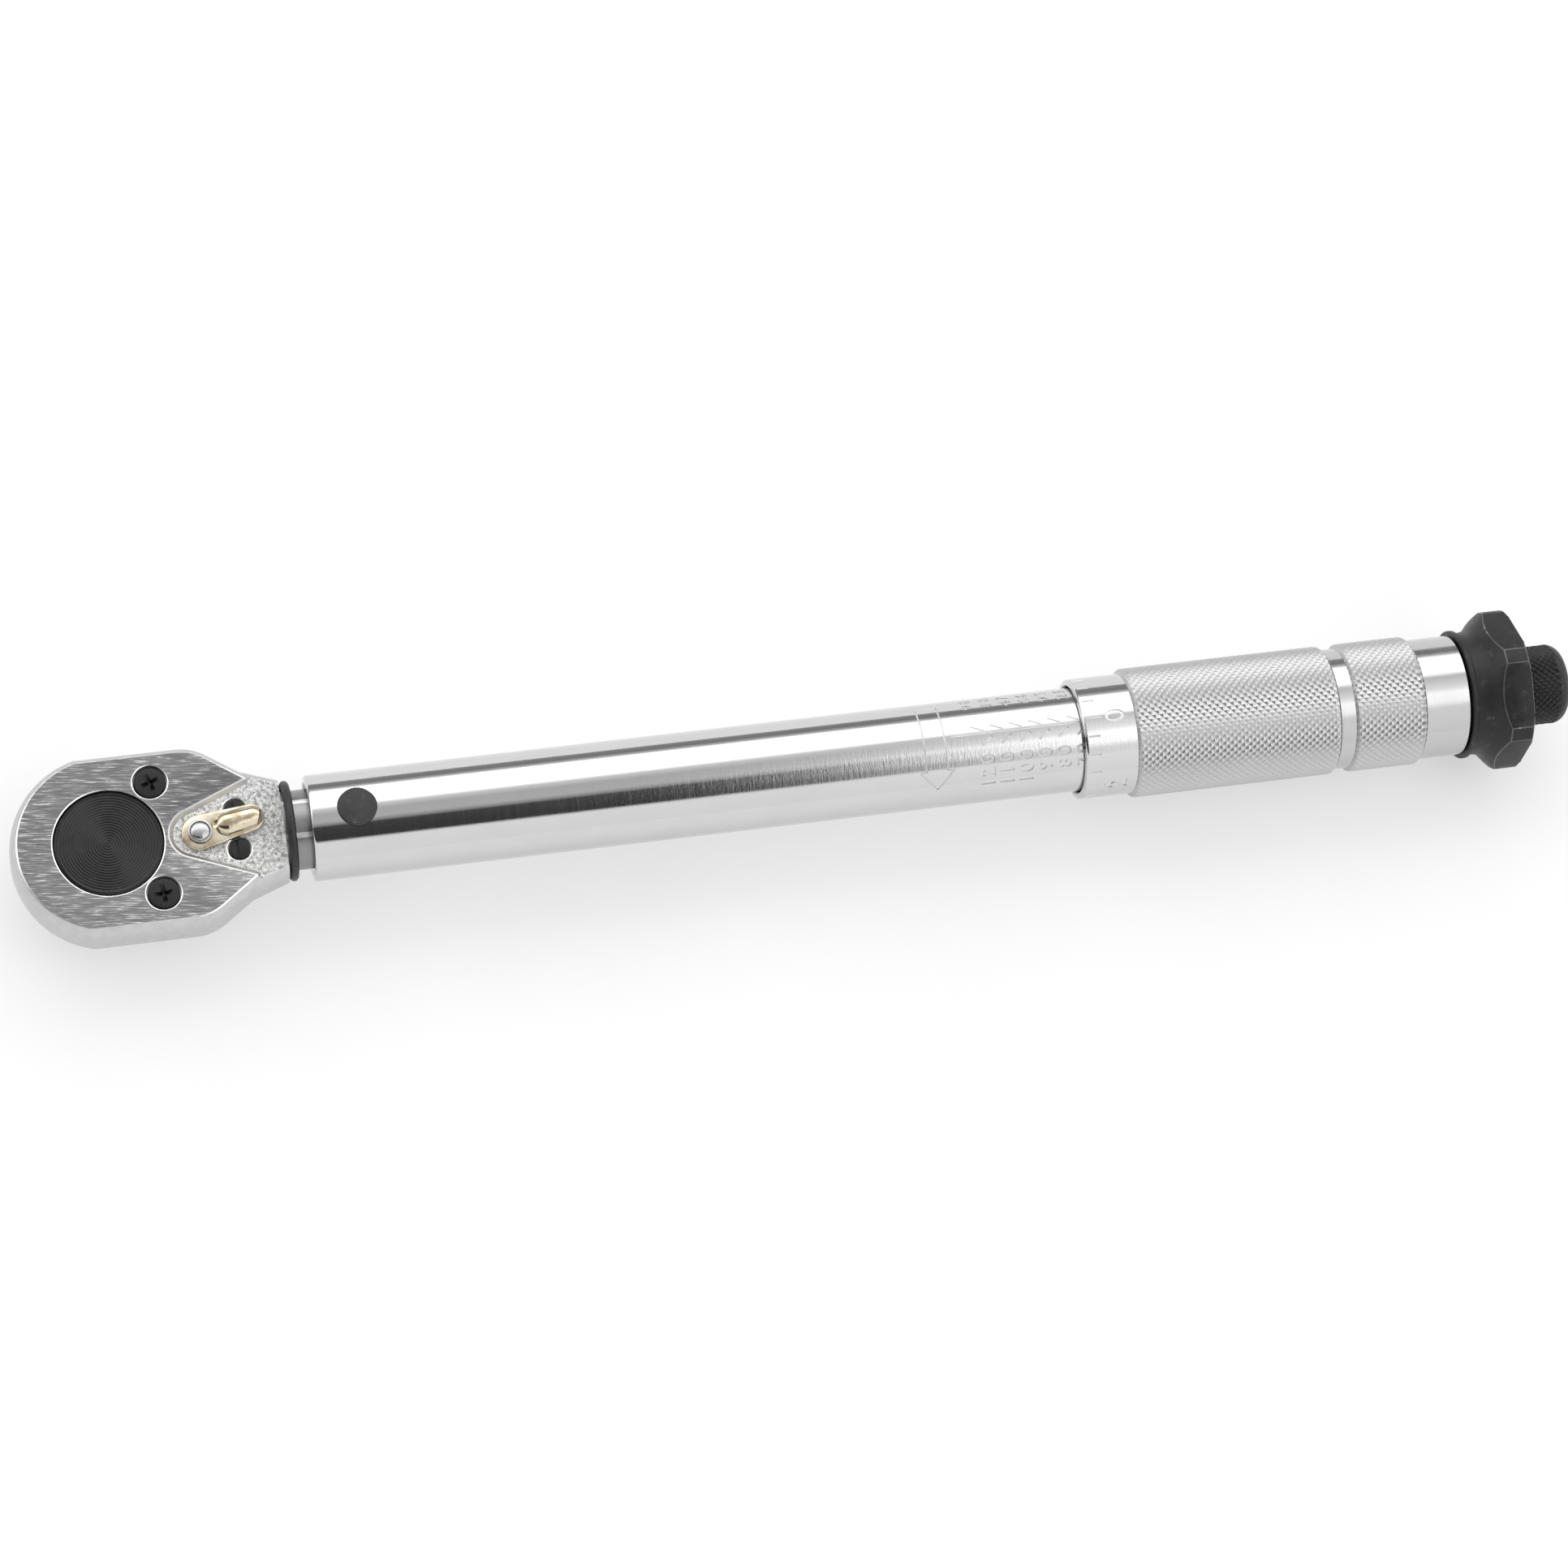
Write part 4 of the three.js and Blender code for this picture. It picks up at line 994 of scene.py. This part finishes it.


# ---- Springs ----

def coil(name, size, low, high, first=0, last=1):
    """A wire wound about the tube's axis between low and high, or its stretch from share first to last."""
    wire, radius = size["wire"], size["radius"]
    length, turning = high - low - 2 * wire, 2 * math.pi * size["turns"]
    steps_per_turn, sides = 20, 12
    steps = round(steps_per_turn * size["turns"] * (last - first))
    ring = arc(wire, 0, 2 * math.pi, sides)[:-1]
    sections = []
    for part in shares(steps):
        share = first + (last - first) * part
        angle = turning * share
        outward = Vector((0, math.cos(angle), math.sin(angle)))
        forward = Vector((length / turning, -radius * math.sin(angle), radius * math.cos(angle)))
        across = forward.normalized().cross(outward)
        centre = radius * outward + Vector((low + wire + length * share, 0, 0))
        sections.append([centre + u * outward + v * across for u, v in ring])
    return lofted(name, sections)


def spring_between(obj, node, start, end):
    """Gives a spring its finish. start and end are points in mm; they are not used."""
    obj.data.materials.append(SPRING)
    obj.data.shade_smooth()
    obj.data.set_sharp_from_angle(angle=math.radians(40))
    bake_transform(obj)
    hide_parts(node)


def main_spring():
    """Two pieces of one coil, split at a point in the tube."""
    low, high, split = MAIN_SPRING["start"], MAIN_SPRING["end"], MAIN_SPRING["split"]
    share = (split - low) / (high - low)
    front = coil("main_spring_front", MAIN_SPRING, low, high, 0, share)
    spring_between(front, "main_spring", (low, 0, 0), (split, 0, 0))
    rear = coil("main_spring_rear", MAIN_SPRING, low, high, share, 1)
    spring_between(rear, "main_spring", (split, 0, 0), (MAIN_SPRING["seat"], 0, 0))


def detent_spring():
    low, high = DETENT["spring_start"], DETENT["end"] - GAP
    obj = coil("lever_detent_spring", DETENT_SPRING, low, high)
    spring_between(obj, "detent_spring", (high, 0, 0), (low, 0, 0))


def ball_spring():
    low, high, height = BALL["x"] + BALL["radius"] + GAP, BALL["bore_end"] - GAP, BALL["z"]
    obj = shifted(coil("ball_spring", BALL_SPRING, low, high), 0, 0, height)
    spring_between(obj, "socket_ball_spring", (high, 0, height), (low, 0, height))


def pawl_spring(number, side):
    """It stands across the head, from the pocket's wall to the hole in the back of a pawl."""
    x, height, seat = PAWL_SPRING["x"], PAWL_SPRING["height"], PAWL_SPRING["seat"]
    wall = POCKET["half_width"] - GAP
    obj = coil(f"pawl_spring_wire_{number}", PAWL_SPRING, seat, wall)
    shifted(rotated(obj, side * math.pi / 2, (0, 0)), x, 0, height)
    fixed, moving = (x, side * wall, height), (x, side * seat, height)
    spring_between(obj, f"pawl_spring_{number}", fixed, moving)


# ---- Inside parts, which keep their CAD shapes ----

def inside_materials():
    """Gives every CAD node the material that belongs to its slot in the record."""
    by_slot = {"brushed": POLISHED, "black": BLACK, "steel": STEEL, "spring": SPRING, "gold": GOLD,
               "rubber": RUBBER, "chrome": CHROME, "brass": BRASS}
    slots = {}
    for entry in frame["record"]["materials"]:
        for node in entry.get("nodes", []):
            slots[node] = entry["slot"]
    for node, obj in frame["nodes"].items():
        named = slots.get(node) or obj.material_slots[0].material.name
        for slot in obj.material_slots:
            slot.material = next((mat for key, mat in by_slot.items() if key in named), STEEL)


# ---- Studio ----

def camera():
    data = bpy.data.cameras.new("camera")
    data.lens = CAMERA["lens"]
    data.sensor_width = 36
    data.clip_start = 0.01
    data.clip_end = 20
    obj = shown("camera", data)
    tilt = math.radians(90 - CAMERA["elevation"])
    turn = (Matrix.Rotation(tilt, 4, "X") @ Matrix.Rotation(math.radians(CAMERA["yaw"]), 4, "Y")
            @ Matrix.Rotation(math.radians(CAMERA["roll"]), 4, "Z"))
    x, y, z = CAMERA["location"]
    obj.matrix_world = Matrix.Translation((x * MM, y * MM, (z + AXIS) * MM)) @ turn
    scene.camera = obj


def floor():
    corners = [(-3, -3, 0), (3, -3, 0), (3, 3, 0), (-3, 3, 0)]
    mesh = bpy.data.meshes.new("floor")
    mesh.from_pydata(corners, [], [(0, 1, 2, 3)])
    obj = shown("floor", mesh)
    material, tree, shader = surface("pale_floor", 0.42, 0.7, 0)
    colour = blend_colours(tree, grain(tree, (0.02, 0.02, 0.02)), [(0.3, 0.41), (0.7, 0.43)])
    tree.links.new(colour, shader.inputs["Base Color"])
    shader.inputs["Emission Color"].default_value = (1, 1, 1, 1)
    shader.inputs["Emission Strength"].default_value = 0.5
    mesh.materials.append(material)


# Brightness of the studio round the tool's long axis: (degrees from overhead towards -y, brightness).
# NEAR is mirrored by the head's end of the tool and FAR by the grip's end. They differ overhead, from
# -20 to 53 degrees, where NEAR has a dark screen.
LOW = [(-180, 0.9), (-92, 0.9), (-89, 0.35), (-77, 0.25), (-69, 0.7), (-65, 2.1), (-27, 2.1)]
NEAR = LOW + [(-20, 0.9), (-9, 0.6), (8, 0.62), (15, 0.35), (19, 0.07), (48, 0.05), (53, 1.05), (90, 1.02),
              (180, 0.9)]
FAR = LOW + [(-20, 0.8), (-12, 1.0), (4, 1.35), (12, 1.9), (30, 1.75), (40, 1.15), (53, 1.12), (90, 1.02),
             (180, 0.9)]
FADE = (0.175, 0.235)  # how far along the tool the reflected direction leans where NEAR gives way to FAR


def studio():
    """Lamps and screens for reflections and light, and a plain pale backdrop for the camera."""
    world = bpy.data.worlds.new("studio")
    world.use_nodes = True
    scene.world = world
    tree = world.node_tree
    place = add_node(tree, "TexCoord", {})
    way = add_node(tree, "SeparateXYZ", {"Vector": place.outputs["Generated"]}).outputs
    flip = add_node(tree, "Math", {0: way["Y"], 1: -1}, operation="MULTIPLY")
    angle = add_node(tree, "Math", {0: flip.outputs[0], 1: way["Z"]}, operation="ARCTAN2")
    turn = spread(tree, angle.outputs[0], 0, 1, -math.pi, math.pi)
    peak = max(level for _, level in NEAR + FAR)
    near, far = (blend_colours(tree, turn, [((deg + 180) / 360, level / peak) for deg, level in bands])
                 for bands in (NEAR, FAR))
    fade = spread(tree, way["X"], 0, 1, *FADE)
    blend = add_node(tree, "Mix", {"Factor": fade, "A": near, "B": far}, data_type="RGBA")
    lights = tree.nodes["Background"]
    lights.inputs["Strength"].default_value = peak
    tree.links.new(blend.outputs["Result"], lights.inputs["Color"])
    plain = add_node(tree, "Background", {"Color": (0.9, 0.9, 0.9, 1)})
    path = add_node(tree, "LightPath", {})
    shaders = {1: lights.outputs["Background"], 2: plain.outputs["Background"]}
    mix = add_node(tree, "MixShader", {"Fac": path.outputs["Is Camera Ray"], **shaders})
    tree.links.new(mix.outputs["Shader"], tree.nodes["World Output"].inputs["Surface"])
    scene.view_settings.view_transform = "Standard"


def soft_light():
    """A wide lamp overhead. It lights the floor and the matt parts, and isn't mirrored in the chrome."""
    data = bpy.data.lights.new("overhead", "AREA")
    data.shape = "DISK"
    data.size = 1.6
    data.energy = 3
    obj = shown("overhead", data)
    obj.location = (0.15, 0.1, 1.6)
    obj.visible_glossy = False


camera()
studio()
soft_light()
floor()
inside_materials()
head()
cover()
phillips_screw(1, 1, math.radians(20))
phillips_screw(2, -1, math.radians(5))
slotted_pivot(1, 1)
slotted_pivot(2, -1)
drive()
socket_ball()
lever()
lever_shaft()
tube()
pivot_pin()
o_ring()
grip()
end_nut()
knob()
main_spring()
detent_spring()
ball_spring()
pawl_spring(1, 1)
pawl_spring(2, -1)
